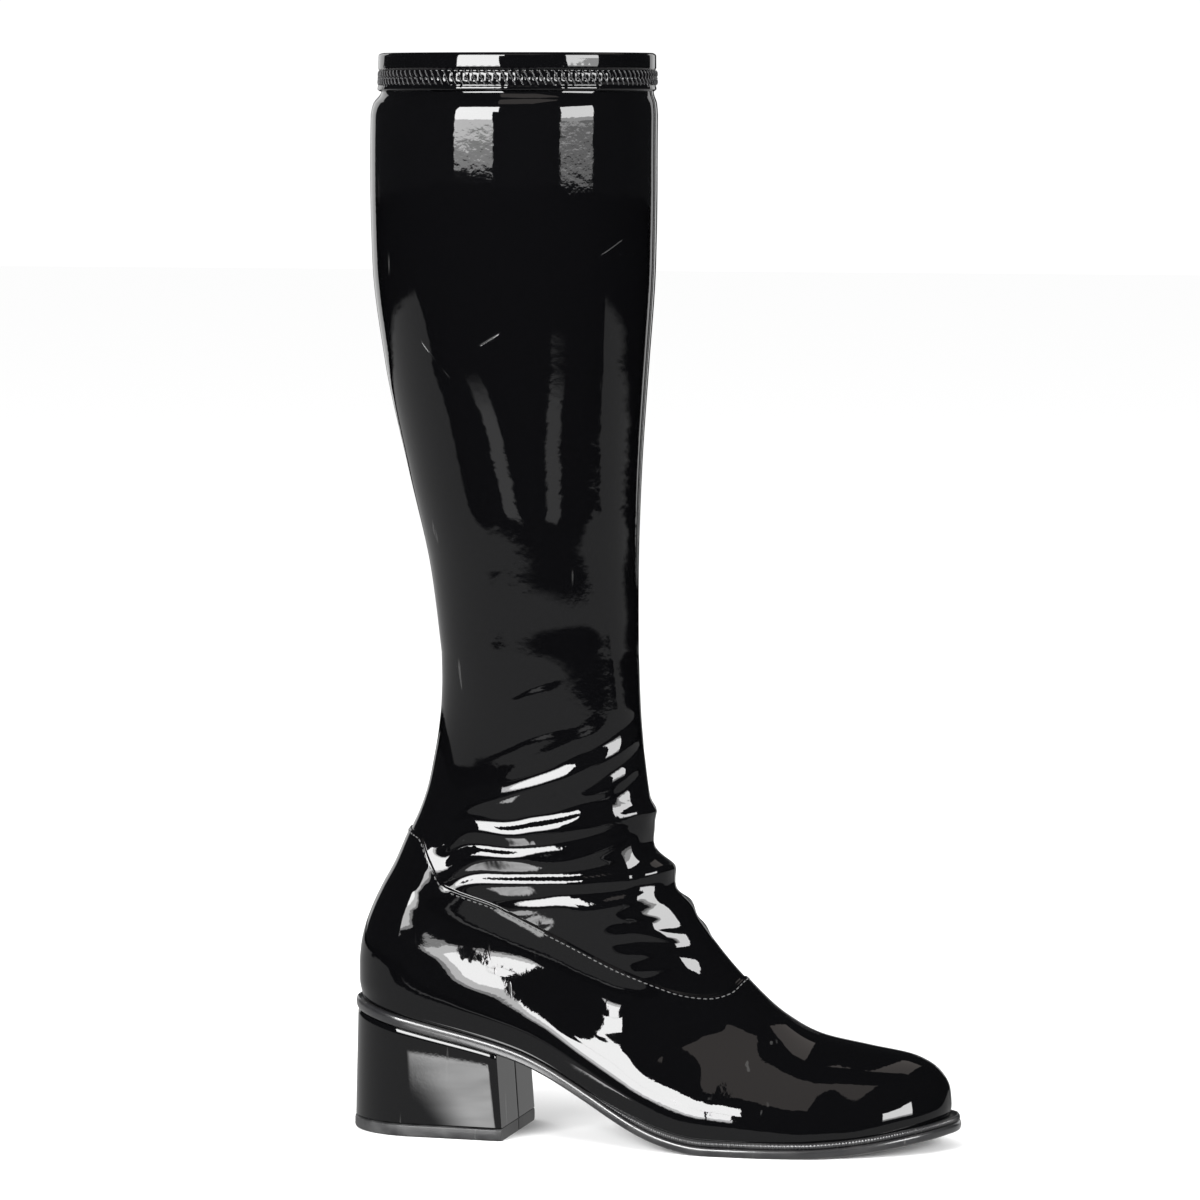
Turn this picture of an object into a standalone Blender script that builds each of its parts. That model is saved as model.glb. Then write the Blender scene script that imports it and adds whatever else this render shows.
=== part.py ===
# Go go boot, right shoe: a knee-high stretch patent shaft in one wall with its foot,
# on a thin sole with a block heel. Metres, +Z up, +X to the toe, +Y to the inner side.
# The origin lies on the floor under the middle of the boot.
import math

import bmesh
import bpy
import numpy as np

for old in list(bpy.data.objects):
    bpy.data.objects.remove(old, do_unlink=True)

# Foot
UPPER_LENGTH = 0.2573       # back of the heel curve to the tip of the toe
BALL_WIDTH = 0.0840         # across the upper at the ball
SEAT_WIDTH = 0.0560         # across it at the heel seat
TOE_HEIGHT = 0.0312         # feather line to the top of the toe box
SEAT_ROUND = 0.0285         # reach of the round heel, seen from above
TOE_SWING = 0.0060          # how far the tip turns to the inner side
SWING_START = 0.45          # share of UPPER_LENGTH where that turn begins
FEATHER_TUCK = 0.050        # share by which the width draws in at the sole
TUCK_REACH = 0.30           # over this share of the height from sole to top line
DOME_SIDE = 1.6             # how long the foot's section stays upright
DOME_TOP = 1.8              # how round it closes at the top line
LEAN_LOW = 0.0070           # the sides lean in from this far above the sole
LEAN_HIGH = 0.0570          # up to here
TOE_ROUND = 0.040           # reach of the round toe, seen from above
# Shaft
NECK_HEIGHT = 0.2060        # floor to the narrowest part of the leg
NECK_LENGTH = 0.0854        # there, front to back
NECK_WIDTH = 0.0600         # there, side to side
NECK_CENTRE = 0.0795        # there, from the heel's back to the middle
COLLAR_HEIGHT = 0.4585      # floor to the cut edge of the upper
CALF_LENGTH = 0.1225        # at the calf, front to back
CALF_WIDTH = 0.1060         # at the calf, side to side
CALF_LEAN = 0.0113          # how far the calf's middle lies behind the neck's
WALL = 0.0015               # stretch patent with its lining
LAP_STEP = 0.0007           # the foot's edge stands proud of the shaft along the lap seam
LAP_DIP = 0.0160            # that seam's depth below a straight line from back to front
# Top band
BAND_DEPTH = 0.0148         # outside leg
BAND_TURN = 0.0100          # inside leg
BAND_THICKNESS = 0.0011
BAND_PULL = 0.0050          # the shaft draws in over this height below the band
FOLD_EASE = 0.35            # share of its lift by which the folded edge is eased
# Sole
HEEL_HEIGHT = 0.0520        # floor to the underside of the sole, at the back
BREAST_HEIGHT = 0.0372      # the same at the heel's breast
TOE_SPRING = 0.0075         # the same at the toe's tip
SOLE_THICKNESS = 0.0052     # at the seat
SOLE_MARGIN = 0.0032        # sole past the feather line, forepart
TOE_MARGIN = 0.0050         # the same at the toe's tip
SEAT_MARGIN = 0.0014        # the same at the seat
MARGIN_SEAT = 0.20          # share of the sole's length where the seat's margin ends
MARGIN_FOREPART = 0.55      # and where the forepart's begins
WELT_THICKNESS = 0.0021
WELT_SETBACK = 0.0005       # welt's edge inside the sole's edge
RIB_DEPTH = 0.0005
RIB_PITCH = 0.0036
WELT_START = 0.42           # share of UPPER_LENGTH from the back
WELT_ROUND = 0.0250         # run of the welt across the toe
INSOLE_THICKNESS = 0.0024
# Heel
HEEL_LENGTH = 0.0685
HEEL_FLARE = 0.0012         # the foot of the heel reaches further back than its top
BREAST_RAKE = 0.0022        # and further forward at its breast
HEEL_INSET = 0.0007         # heel inside the sole's edge
LIFT_THICKNESS = 0.0052
LIFT_SHOW = 0.0004          # lift past the block's foot
GAP = 0.0003                # between pieces that meet

# Resolution
AROUND = 60                 # points round one ring of the upper
EVEN = 0.25                 # evens their spacing between the long sides and the ends
LOW_RINGS = 11              # rings from the sole to the lap seam
HIGH_RINGS = 10             # rings from there to the neck
LAP_RING = 0.06             # rings between the two edges of the lap seam's step
SHAFT_RINGS = 10            # rings between neck and collar
SOLE_STEPS = 56             # steps along the sole
HEEL_STEPS = 14
SLOPE_REACH = 0.0026        # the sole's slope is read over this far each way
STEEP = 10                  # slope that closes the foot's top line behind the instep
SHARP = math.radians(40)    # edges that turn more than this stay sharp


# Half widths along the foot, as shares of half a width that goes over from SEAT_WIDTH,
# at ball 0, to BALL_WIDTH, at ball 1
PLAN_COLUMNS = ("along", "ball", "outer", "inner")
PLAN = (
    (0.00, 0.00, 0.98, 0.98),
    (0.11, 0.00, 1.00, 1.00),
    (0.27, 0.00, 1.04, 0.98),
    (0.42, 0.35, 0.96, 0.81),
    (0.54, 0.75, 0.98, 0.85),
    (0.62, 1.00, 0.99, 0.90),
    (0.70, 1.00, 1.01, 0.98),
    (0.78, 1.00, 0.98, 0.98),
    (0.86, 1.00, 0.85, 0.87),
    (1.00, 1.00, 0.76, 0.76),
)

# How far the sides of the foot lean in: along the foot, share of the plan's width
LEAN_COLUMNS = ("along", "lean")
LEAN = (
    (0.00, 0.04),
    (0.15, 0.14),
    (0.25, 0.26),
    (0.35, 0.32),
    (0.45, 0.41),
    (0.58, 0.38),
    (0.72, 0.18),
    (0.85, 0.00),
    (1.00, 0.00),
)

# Underside of the sole forward of the breast: breast is a share of BREAST_HEIGHT and toe
# one of TOE_SPRING
UNDER_COLUMNS = ("along", "breast", "toe")
UNDER = (
    (0.305, 0.905, 0.000),
    (0.344, 0.790, 0.000),
    (0.382, 0.653, 0.000),
    (0.422, 0.497, 0.000),
    (0.460, 0.347, 0.000),
    (0.499, 0.210, 0.000),
    (0.538, 0.105, 0.000),
    (0.577, 0.038, 0.000),
    (0.612, 0.007, 0.000),
    (0.640, 0.000, 0.000),
    (0.730, 0.000, 0.000),
    (0.787, 0.000, 0.035),
    (0.842, 0.000, 0.140),
    (0.896, 0.000, 0.370),
    (0.951, 0.000, 0.690),
    (1.003, 0.000, 1.000),
)
# Thickness of the sole along the foot, share of SOLE_THICKNESS
SOLE_COLUMNS = ("along", "thickness")
SOLE = ((0.00, 1.00), (0.27, 0.90), (0.42, 0.76), (0.62, 0.76), (1.00, 0.76))

# Rings of the foot. back and front are shares of UPPER_LENGTH. back_rise is a share of the
# height from seat to neck. At the front, toe is a share of TOE_HEIGHT and leg one of the
# height from there to the neck. sag is a share of the sole's own sag and dip of the lap
# seam's, oval turns the section from last to leg, girth is a share of NECK_WIDTH.
FOOT_COLUMNS = ("back", "back_rise", "front", "toe", "leg", "sag", "dip", "oval", "girth")
FOOT = (
    (0.0050, 0.000, 0.9950, 0.000, 0.000, 1.00, 0.00, 0.00, 0.96),
    (0.0000, 0.047, 0.9995, 0.236, 0.000, 1.00, 0.00, 0.00, 0.96),
    (0.0000, 0.094, 0.9970, 0.459, 0.000, 1.00, 0.00, 0.00, 0.96),
    (0.0025, 0.145, 0.9800, 0.694, 0.000, 0.97, 0.00, 0.00, 0.96),
    (0.0095, 0.202, 0.9370, 0.887, 0.000, 0.92, 0.10, 0.00, 0.96),
    (0.0225, 0.266, 0.8620, 1.000, 0.000, 0.75, 0.30, 0.03, 0.96),
    (0.0400, 0.333, 0.7825, 1.000, 0.026, 0.50, 0.55, 0.10, 0.94),
    (0.0625, 0.407, 0.7200, 1.000, 0.080, 0.25, 0.80, 0.22, 0.90),
    (0.0893, 0.505, 0.6570, 1.000, 0.167, 0.00, 1.00, 0.42, 0.86),
    (0.1050, 0.566, 0.6050, 1.000, 0.262, 0.00, 0.80, 0.62, 0.84),
    (0.1175, 0.630, 0.5575, 1.000, 0.368, 0.00, 0.50, 0.80, 0.82),
    (0.1270, 0.704, 0.5226, 1.000, 0.464, 0.00, 0.25, 0.92, 0.82),
    (0.1355, 0.784, 0.5040, 1.000, 0.563, 0.00, 0.10, 0.97, 0.84),
    (0.1410, 0.865, 0.4910, 1.000, 0.685, 0.00, 0.00, 1.00, 0.89),
    (0.1430, 0.939, 0.4810, 1.000, 0.833, 0.00, 0.00, 1.00, 0.95),
)
LAP_ROW = 8                 # the ring that the lap seam follows

# The lap seam below a straight line between its ends: share from back to front, dip as a
# share of LAP_DIP
LAP_COLUMNS = ("along", "dip")
LAP = (
    (0.00, 0.00),
    (0.05, -0.06),
    (0.09, 0.45),
    (0.14, 0.92),
    (0.30, 0.80),
    (0.48, 0.88),
    (0.66, 1.00),
    (0.80, 0.97),
    (0.90, 0.78),
    (0.97, 0.40),
    (1.00, 0.00),
)

# Rings of the shaft: rise from neck to collar, swell and wide from neck to calf, front to
# back and side to side, lean backward
SHAFT_COLUMNS = ("rise", "swell", "wide", "lean")
SHAFT = (
    (0.00, 0.000, 0.000, 0.00),
    (0.14, 0.112, 0.240, 0.20),
    (0.31, 0.400, 0.500, 0.57),
    (0.49, 0.750, 0.760, 0.88),
    (0.66, 0.966, 0.950, 0.99),
    (0.80, 1.000, 1.000, 1.00),
    (0.90, 0.995, 0.995, 0.98),
    (0.92, 0.960, 0.960, 0.95),
    (0.94, 0.830, 0.830, 0.86),
    (1.00, 0.810, 0.810, 0.84),
)


FEATHER_FRONT = FOOT[0][FOOT_COLUMNS.index("front")] * UPPER_LENGTH
BACK_X = (SEAT_MARGIN + HEEL_FLARE - TOE_MARGIN - FEATHER_FRONT) / 2
BREAST_X = BACK_X - SEAT_MARGIN + HEEL_LENGTH


def column(rows, names, name):
    return np.array([row[names.index(name)] for row in rows])


def smooth(x, xs, ys):
    """Cubic through the rows with no overshoot between them."""
    xs, ys = np.asarray(xs, float), np.asarray(ys, float)
    step = np.diff(xs)
    slope = np.diff(ys) / step
    tangent = np.zeros(len(xs))
    tangent[0], tangent[-1] = slope[0], slope[-1]
    for i in range(1, len(xs) - 1):
        if slope[i - 1] * slope[i] > 0:
            near, far = 2 * step[i] + step[i - 1], step[i] + 2 * step[i - 1]
            tangent[i] = (near + far) / (near / slope[i - 1] + far / slope[i])
    x = np.clip(x, xs[0], xs[-1])
    i = np.clip(np.searchsorted(xs, x, side="right") - 1, 0, len(step) - 1)
    t = (x - xs[i]) / step[i]
    return (ys[i] * (1 + 2 * t) * (1 - t) ** 2 + step[i] * tangent[i] * t * (1 - t) ** 2
            + ys[i + 1] * t * t * (3 - 2 * t) + step[i] * tangent[i + 1] * t * t * (t - 1))


def round_end(distance, reach):
    """Width share at a distance from a round end: 0 at the end, 1 past its reach."""
    near = np.clip(distance / reach, 0, 1)
    return np.sqrt(1 - (1 - near) ** 2)


def along(x):
    return (x - BACK_X) / UPPER_LENGTH


def centre_y(x):
    turn = np.clip((along(x) - SWING_START) / (1 - SWING_START), 0, 1)
    return TOE_SWING * turn * turn * (3 - 2 * turn)


def plan_half(share, side):
    """Half width of the last at a share of its length: side is -1 outer, 1 inner."""
    rows = column(PLAN, PLAN_COLUMNS, "along")
    ball, outer, inner = (smooth(share, rows, column(PLAN, PLAN_COLUMNS, name))
                          for name in PLAN_COLUMNS[1:])
    width = SEAT_WIDTH + ball * (BALL_WIDTH - SEAT_WIDTH)
    return np.where(side < 0, outer, inner) * width / 2


# The sole's heights

def under_rows():
    """Places along the foot and heights of the sole's underside, straight over the heel."""
    breast = float(along(BREAST_X))
    halfway = (breast / 2, (HEEL_HEIGHT + BREAST_HEIGHT) / 2)
    share, lift, toe = (column(UNDER, UNDER_COLUMNS, name) for name in UNDER_COLUMNS)
    forward = np.stack([share, lift * BREAST_HEIGHT + toe * TOE_SPRING], axis=1)
    return np.array([(0.0, HEEL_HEIGHT), halfway, (breast, BREAST_HEIGHT), *forward])


UNDER_LINE = under_rows()


def sole_under(x):
    return smooth(along(x), UNDER_LINE[:, 0], UNDER_LINE[:, 1])


def sole_top(x):
    slope = (sole_under(x + SLOPE_REACH) - sole_under(x - SLOPE_REACH)) / (2 * SLOPE_REACH)
    thick = smooth(along(x), column(SOLE, SOLE_COLUMNS, "along"),
                   column(SOLE, SOLE_COLUMNS, "thickness"))
    return sole_under(x) + thick * SOLE_THICKNESS * np.sqrt(1 + slope * slope)


def feather(x):
    return sole_top(x) + GAP


# The upper's rings

NECK_X = BACK_X + NECK_CENTRE
NECK_BACK = NECK_X - NECK_LENGTH / 2
NECK_FRONT = NECK_X + NECK_LENGTH / 2


def foot_rows():
    """The rows with their ring ends in the boot's frame: back x, z and front x, z."""
    rows = []
    for back, back_rise, front, toe, leg, *shares in FOOT:
        low_back = feather(np.array(BACK_X + back * UPPER_LENGTH))
        low_front = feather(np.array(BACK_X + FEATHER_FRONT))
        rows.append((BACK_X + back * UPPER_LENGTH,
                     low_back + back_rise * (NECK_HEIGHT - low_back),
                     BACK_X + front * UPPER_LENGTH,
                     low_front + toe * TOE_HEIGHT
                     + leg * (NECK_HEIGHT - low_front - TOE_HEIGHT),
                     *shares))
    rows.append((NECK_BACK, NECK_HEIGHT, NECK_FRONT, NECK_HEIGHT, 0.0, 0.0, 1.0, 1.0))
    return np.array(rows, dtype=float)


FOOT_ENDS = foot_rows()
FOOT_STEPS = np.arange(len(FOOT_ENDS), dtype=float)


def foot_ends(step):
    return [smooth(step, FOOT_STEPS, ends) for ends in FOOT_ENDS.T]


PROFILE = np.linspace(0, len(FOOT_ENDS) - 1, 400)
BACK_LINE = np.stack(foot_ends(PROFILE)[0:2], axis=1)
FRONT_LINE = np.stack(foot_ends(PROFILE)[2:4], axis=1)
NOSE = int(np.argmax(FRONT_LINE[:, 0]))


def back_at(z):
    return np.interp(z, BACK_LINE[:, 1], BACK_LINE[:, 0])


def tip_at(z):
    return np.interp(z, FRONT_LINE[:NOSE + 1, 1], FRONT_LINE[:NOSE + 1, 0])


def ridge_at(x):
    """Height of the top line of the foot, rising steeply behind the front of the leg."""
    line = FRONT_LINE[NOSE:][::-1]
    over = np.maximum(line[0, 0] - x, 0)
    return np.interp(x, line[:, 0], line[:, 1]) + STEEP * over


def side_lean(share, height):
    """Share of the width that is left at a height above the feather line."""
    lean = smooth(share, column(LEAN, LEAN_COLUMNS, "along"), column(LEAN, LEAN_COLUMNS, "lean"))
    t = np.clip((height - LEAN_LOW) / (LEAN_HIGH - LEAN_LOW), 0, 1)
    return 1 - lean * t * t * (3 - 2 * t)


def last_half(x, z, side):
    """Half width of the last's form, from its centre line, at a place on its side."""
    start, tip = back_at(z), tip_at(z)
    share = (x - start) / (tip - start)
    ends = round_end(x - start, SEAT_ROUND) * round_end(tip - x, TOE_ROUND)
    low = feather(x)
    t = np.clip((z - low) / (ridge_at(x) - low), 0, 1)
    dome = (1 - t ** DOME_SIDE) ** (1 / DOME_TOP)
    tuck = 1 - FEATHER_TUCK * np.clip(1 - t / TUCK_REACH, 0, 1) ** 2
    return plan_half(share, side) * ends * dome * tuck * side_lean(share, z - low)


def sole_sag(s):
    """How far the feather line hangs below a straight line between its ends."""
    x = FOOT_ENDS[0, 0] + s * (FOOT_ENDS[0, 2] - FOOT_ENDS[0, 0])
    ends = feather(FOOT_ENDS[0, [0, 2]])
    return ends[0] + s * (ends[1] - ends[0]) - feather(x)


def foot_ring(step, angle):
    """Points of one ring of the foot. angle runs from the back round the outer side."""
    x0, z0, x1, z1, sag, dip, oval, girth = foot_ends(np.array(step))
    angle = angle + EVEN / 2 * np.sin(2 * angle) * (1 - oval)
    s = (1 - np.cos(angle)) / 2
    side = np.where(np.sin(angle) >= 0, -1.0, 1.0)
    x = x0 + s * (x1 - x0)
    lap = smooth(s, column(LAP, LAP_COLUMNS, "along"), column(LAP, LAP_COLUMNS, "dip"))
    z = z0 + s * (z1 - z0) - sag * sole_sag(s) - dip * LAP_DIP * lap
    if step == 0:
        z = feather(x)
    leg = girth * NECK_WIDTH / 2 * np.abs(np.sin(angle))
    last = np.where(s <= 0, 0, last_half(x, z, side))
    last = np.where(s >= 1, 0, last)
    half = (1 - oval) * last + oval * leg
    y = centre_y(x) * (1 - oval) + side * half
    return np.stack([x, y, z], axis=-1)


def shaft_section(rise):
    names = SHAFT_COLUMNS
    swell = smooth(rise, column(SHAFT, names, "rise"), column(SHAFT, names, "swell"))
    wide = smooth(rise, column(SHAFT, names, "rise"), column(SHAFT, names, "wide"))
    lean = smooth(rise, column(SHAFT, names, "rise"), column(SHAFT, names, "lean"))
    half_length = (NECK_LENGTH + swell * (CALF_LENGTH - NECK_LENGTH)) / 2
    half_width = (NECK_WIDTH + wide * (CALF_WIDTH - NECK_WIDTH)) / 2
    return NECK_X - lean * CALF_LEAN, half_length, half_width


BAND_RISE = 1 - BAND_DEPTH / (COLLAR_HEIGHT - NECK_HEIGHT)
PULL_RISE = BAND_RISE - BAND_PULL / (COLLAR_HEIGHT - NECK_HEIGHT)


def shaft_ring(rise, angle, out=0.0):
    middle, half_length, half_width = shaft_section(np.array(rise))
    z = NECK_HEIGHT + rise * (COLLAR_HEIGHT - NECK_HEIGHT)
    x = middle - (half_length + out) * np.cos(angle)
    y = -(half_width + out) * np.sin(angle)
    return np.stack([x, y, np.full_like(x, z)], axis=-1)


def collar_ring(drop, angle, out):
    """Ring of the straight stretch that the band covers, drop below the collar's edge."""
    low = shaft_ring(BAND_RISE, angle, out)
    high = shaft_ring(1.0, angle, out)
    return high + (low - high) * drop / BAND_DEPTH


# Making the pieces

BOOT = bpy.data.collections.new("go_go_boot")
bpy.context.scene.collection.children.link(BOOT)


def finish(name, bm, colour, roughness, coat=0.0):
    mesh = bpy.data.meshes.new(name)
    bm.to_mesh(mesh)
    bm.free()
    mesh.shade_smooth()
    mesh.set_sharp_from_angle(angle=SHARP)
    material = bpy.data.materials.new(name)
    material.use_nodes = True
    shader = material.node_tree.nodes["Principled BSDF"]
    shader.inputs["Base Color"].default_value = (*colour, 1)
    shader.inputs["Roughness"].default_value = roughness
    shader.inputs["Metallic"].default_value = 0.0
    shader.inputs["Coat Weight"].default_value = coat
    mesh.materials.append(material)
    piece = bpy.data.objects.new(name, mesh)
    BOOT.objects.link(piece)
    return piece


def ring_sheet(rings):
    """Open sheet through rings that run from the back round the outer side, facing out."""
    bm = bmesh.new()
    rows = [[bm.verts.new(point) for point in ring] for ring in rings]
    for low, high in zip(rows, rows[1:]):
        for i, vert in enumerate(low):
            j = (i + 1) % len(low)
            bm.faces.new((vert, low[j], high[j], high[i]))
    bm.normal_update()
    return bm


def thicken(piece, thickness, offset):
    shell = piece.modifiers.new("Wall", "SOLIDIFY")
    shell.thickness = thickness
    shell.offset = offset
    shell.use_even_offset = True
    shell.use_rim = True
    return piece


def slab(low, high, lengthwise, across):
    """Closed sheet between two levels. Each level maps shares along and across to a point."""
    bm = bmesh.new()
    bmesh.ops.create_grid(bm, x_segments=lengthwise, y_segments=across, size=0.5)
    lower = list(bm.verts)
    grown = bmesh.ops.extrude_face_region(bm, geom=bm.faces[:])
    upper = [v for v in grown["geom"] if isinstance(v, bmesh.types.BMVert)]
    for verts, level in ((lower, low), (upper, high)):
        for vert in verts:
            vert.co = level(vert.co.x + 0.5, 2 * vert.co.y)
    bmesh.ops.remove_doubles(bm, verts=bm.verts[:], dist=0.00001)
    bmesh.ops.recalc_face_normals(bm, faces=bm.faces[:])
    return bm


def upper():
    angle = np.arange(AROUND) * 2 * math.pi / AROUND
    steps = [*np.linspace(0, LAP_ROW, LOW_RINGS),
             *np.linspace(LAP_ROW + LAP_RING, len(FOOT_ENDS) - 1, HIGH_RINGS)]
    rises = [*np.linspace(0, PULL_RISE, SHAFT_RINGS)[1:], BAND_RISE, 1.0]
    sheet = ring_sheet([foot_ring(step, angle) for step in steps]
                       + [shaft_ring(rise, angle) for rise in rises])
    sheet.verts.ensure_lookup_table()
    lap = sheet.verts[AROUND * (LOW_RINGS - 2):AROUND * LOW_RINGS]
    for vert, normal in [(vert, vert.normal.copy()) for vert in lap]:
        vert.co += normal * LAP_STEP
    piece = finish("upper", sheet, (0.010, 0.010, 0.012), 0.12, 1.0)
    return thicken(piece, WALL, -1)


def top_band():
    angle = np.arange(AROUND) * 2 * math.pi / AROUND
    over = GAP + BAND_THICKNESS
    inside = -(WALL + over)
    ease = FOLD_EASE * over
    section = ((over, BAND_DEPTH), (over, BAND_DEPTH / 2), (over, 0), (over - ease, -over),
               (inside + ease, -over), (inside, 0), (inside, BAND_TURN))
    rings = []
    for out, drop in section:
        ring = collar_ring(max(drop, 0), angle, out)
        ring[:, 2] = COLLAR_HEIGHT - drop
        rings.append(ring)
    return thicken(finish("top_band", ring_sheet(rings), (0.012, 0.012, 0.014), 0.35),
                   BAND_THICKNESS, -1)


# The sole and its neighbours

SOLE_BACK = BACK_X - SEAT_MARGIN
SOLE_TIP = BACK_X + FEATHER_FRONT + TOE_MARGIN


def sole_half(x, side, inset=0.0):
    share = (x - SOLE_BACK) / (SOLE_TIP - SOLE_BACK)
    grow = np.clip((share - MARGIN_SEAT) / (MARGIN_FOREPART - MARGIN_SEAT), 0, 1)
    margin = SEAT_MARGIN + (SOLE_MARGIN - SEAT_MARGIN) * grow * grow * (3 - 2 * grow)
    ends = (round_end(x - SOLE_BACK - inset, SEAT_ROUND + SEAT_MARGIN)
            * round_end(SOLE_TIP - inset - x, TOE_ROUND + SOLE_MARGIN))
    return (plan_half(share, side) * (1 - FEATHER_TUCK) + margin - inset) * ends


def sole_level(height):
    def place(a, b):
        x = SOLE_BACK + (SOLE_TIP - SOLE_BACK) * (1 - math.cos(math.pi * a)) / 2
        side = -1 if b < 0 else 1
        return x, float(centre_y(x)) + b * float(sole_half(x, side)), float(height(x))
    return place


def outsole():
    return finish("outsole", slab(sole_level(sole_under), sole_level(sole_top), SOLE_STEPS, 2),
                  (0.020, 0.020, 0.021), 0.30)


def insole():
    """Board inside the upper's wall, resting on the sole."""
    inset = WALL + 2 * GAP
    low, high = FOOT_ENDS[0, 0] + inset, FOOT_ENDS[0, 2] - inset

    def level(rise):
        def place(a, b):
            share = (1 - math.cos(math.pi * a)) / 2
            x = low + (high - low) * share
            beside = FOOT_ENDS[0, 0] + (high - low + 2 * inset) * share
            side = -1 if b < 0 else 1
            half = last_half(beside, feather(beside), side)
            half = half * (1 - inset / plan_half(along(beside), side))
            return x, float(centre_y(x) + b * half), float(sole_top(x)) + rise
        return place
    return finish("insole", slab(level(GAP), level(GAP + INSOLE_THICKNESS), SOLE_STEPS, 2),
                  (0.35, 0.30, 0.24), 0.8)


def welt():
    """Ribbed strip on the forepart's edge, from waist to waist round the toe."""
    start = BACK_X + WELT_START * UPPER_LENGTH
    turn = math.acos(1 - 2 * (start - SOLE_BACK) / (SOLE_TIP - SOLE_BACK))
    run = 2 * (SOLE_TIP - start) + WELT_ROUND
    ribs = int(run / RIB_PITCH)
    sections = []
    for i in range(2 * ribs + 1):
        angle = turn + (2 * math.pi - 2 * turn) * i / (2 * ribs)
        side = -1 if angle <= math.pi else 1
        sections.append(welt_section((1 - math.cos(angle)) / 2, side, RIB_DEPTH * (i % 2)))
    return finish("welt", ring_strip(sections), (0.018, 0.018, 0.019), 0.35)


def welt_section(share, side, notch):
    """Four corners: outer edge low and high, then the edge beside the upper high and low."""
    inset = WELT_SETBACK + notch
    x = SOLE_BACK + inset + share * (SOLE_TIP - SOLE_BACK - 2 * inset)
    y = float(centre_y(x)) + side * float(sole_half(x, side, inset))
    corners = [(x, y, float(sole_top(x)) + rise) for rise in (GAP, GAP + WELT_THICKNESS)]
    for rise in (GAP + WELT_THICKNESS, GAP):
        foot_tip = float(tip_at(feather(BACK_X + FEATHER_FRONT) + rise))
        x = BACK_X + share * (foot_tip - BACK_X)
        z = float(sole_top(x)) + rise
        half = float(last_half(np.array(x), np.array(z), side))
        out = GAP * share_of_turn(x, foot_tip)
        x += GAP * (1 - share_of_turn(x, foot_tip))
        corners.append((x, float(centre_y(x)) + side * (half + out), z))
    return corners


def share_of_turn(x, tip):
    """1 along the side of the foot, falling to 0 at the very tip of its toe."""
    return float(round_end(tip - x, TOE_ROUND / 4))


def ring_strip(sections):
    """Closed strip: four-cornered sections one after another, capped at both ends."""
    bm = bmesh.new()
    rows = [[bm.verts.new(point) for point in section] for section in sections]
    for near, far in zip(rows, rows[1:]):
        for i in range(4):
            j = (i + 1) % 4
            bm.faces.new((near[i], near[j], far[j], far[i]))
    bm.faces.new(rows[0])
    bm.faces.new(rows[-1][::-1])
    bmesh.ops.recalc_face_normals(bm, faces=bm.faces[:])
    return bm


def heel_level(height, flare, inset, rake):
    """D-shaped level of the heel: round at the back, straight across the breast."""
    def place(a, b):
        back = SOLE_BACK + inset - flare
        front = BREAST_X + rake
        x = back + (front - back) * (1 - math.cos(math.pi / 2 * a))
        side = -1 if b < 0 else 1
        seat = SOLE_BACK + (x - back) / (front - back) * (BREAST_X - SOLE_BACK)
        half = float(sole_half(seat, side)) * (1 - inset / plan_half(along(seat), side))
        return x, b * float(half), float(height(x))
    return place


def heel():
    foot = LIFT_THICKNESS + GAP
    low = heel_level(lambda x: foot, HEEL_FLARE, HEEL_INSET, BREAST_RAKE)
    high = heel_level(lambda x: sole_under(x) - GAP, 0.0, HEEL_INSET, 0.0)
    return finish("heel", slab(low, high, HEEL_STEPS, 2), (0.011, 0.011, 0.012), 0.15, 0.8)


def heel_lift():
    inset = HEEL_INSET - LIFT_SHOW
    low = heel_level(lambda x: 0.0, HEEL_FLARE, inset, BREAST_RAKE)
    high = heel_level(lambda x: LIFT_THICKNESS, HEEL_FLARE, inset, BREAST_RAKE)
    return finish("heel_lift", slab(low, high, HEEL_STEPS, 2), (0.018, 0.018, 0.018), 0.6)


for make in (upper, top_band, insole, outsole, welt, heel, heel_lift):
    make()
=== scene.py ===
import math

import bmesh
import bpy
import numpy as np
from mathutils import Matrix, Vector


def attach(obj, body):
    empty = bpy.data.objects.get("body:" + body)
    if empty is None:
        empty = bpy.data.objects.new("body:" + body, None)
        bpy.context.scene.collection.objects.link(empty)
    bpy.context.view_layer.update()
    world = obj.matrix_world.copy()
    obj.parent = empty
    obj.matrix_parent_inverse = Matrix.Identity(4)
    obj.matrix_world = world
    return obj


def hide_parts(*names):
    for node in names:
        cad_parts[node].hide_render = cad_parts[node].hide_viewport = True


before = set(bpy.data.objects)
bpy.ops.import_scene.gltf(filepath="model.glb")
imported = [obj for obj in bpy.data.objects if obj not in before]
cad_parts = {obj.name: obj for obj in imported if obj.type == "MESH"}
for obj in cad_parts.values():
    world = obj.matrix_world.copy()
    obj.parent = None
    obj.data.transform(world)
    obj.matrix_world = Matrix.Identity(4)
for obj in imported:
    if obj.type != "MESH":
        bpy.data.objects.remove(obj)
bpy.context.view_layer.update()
print("model loaded:", ", ".join(sorted(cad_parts)))

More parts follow.
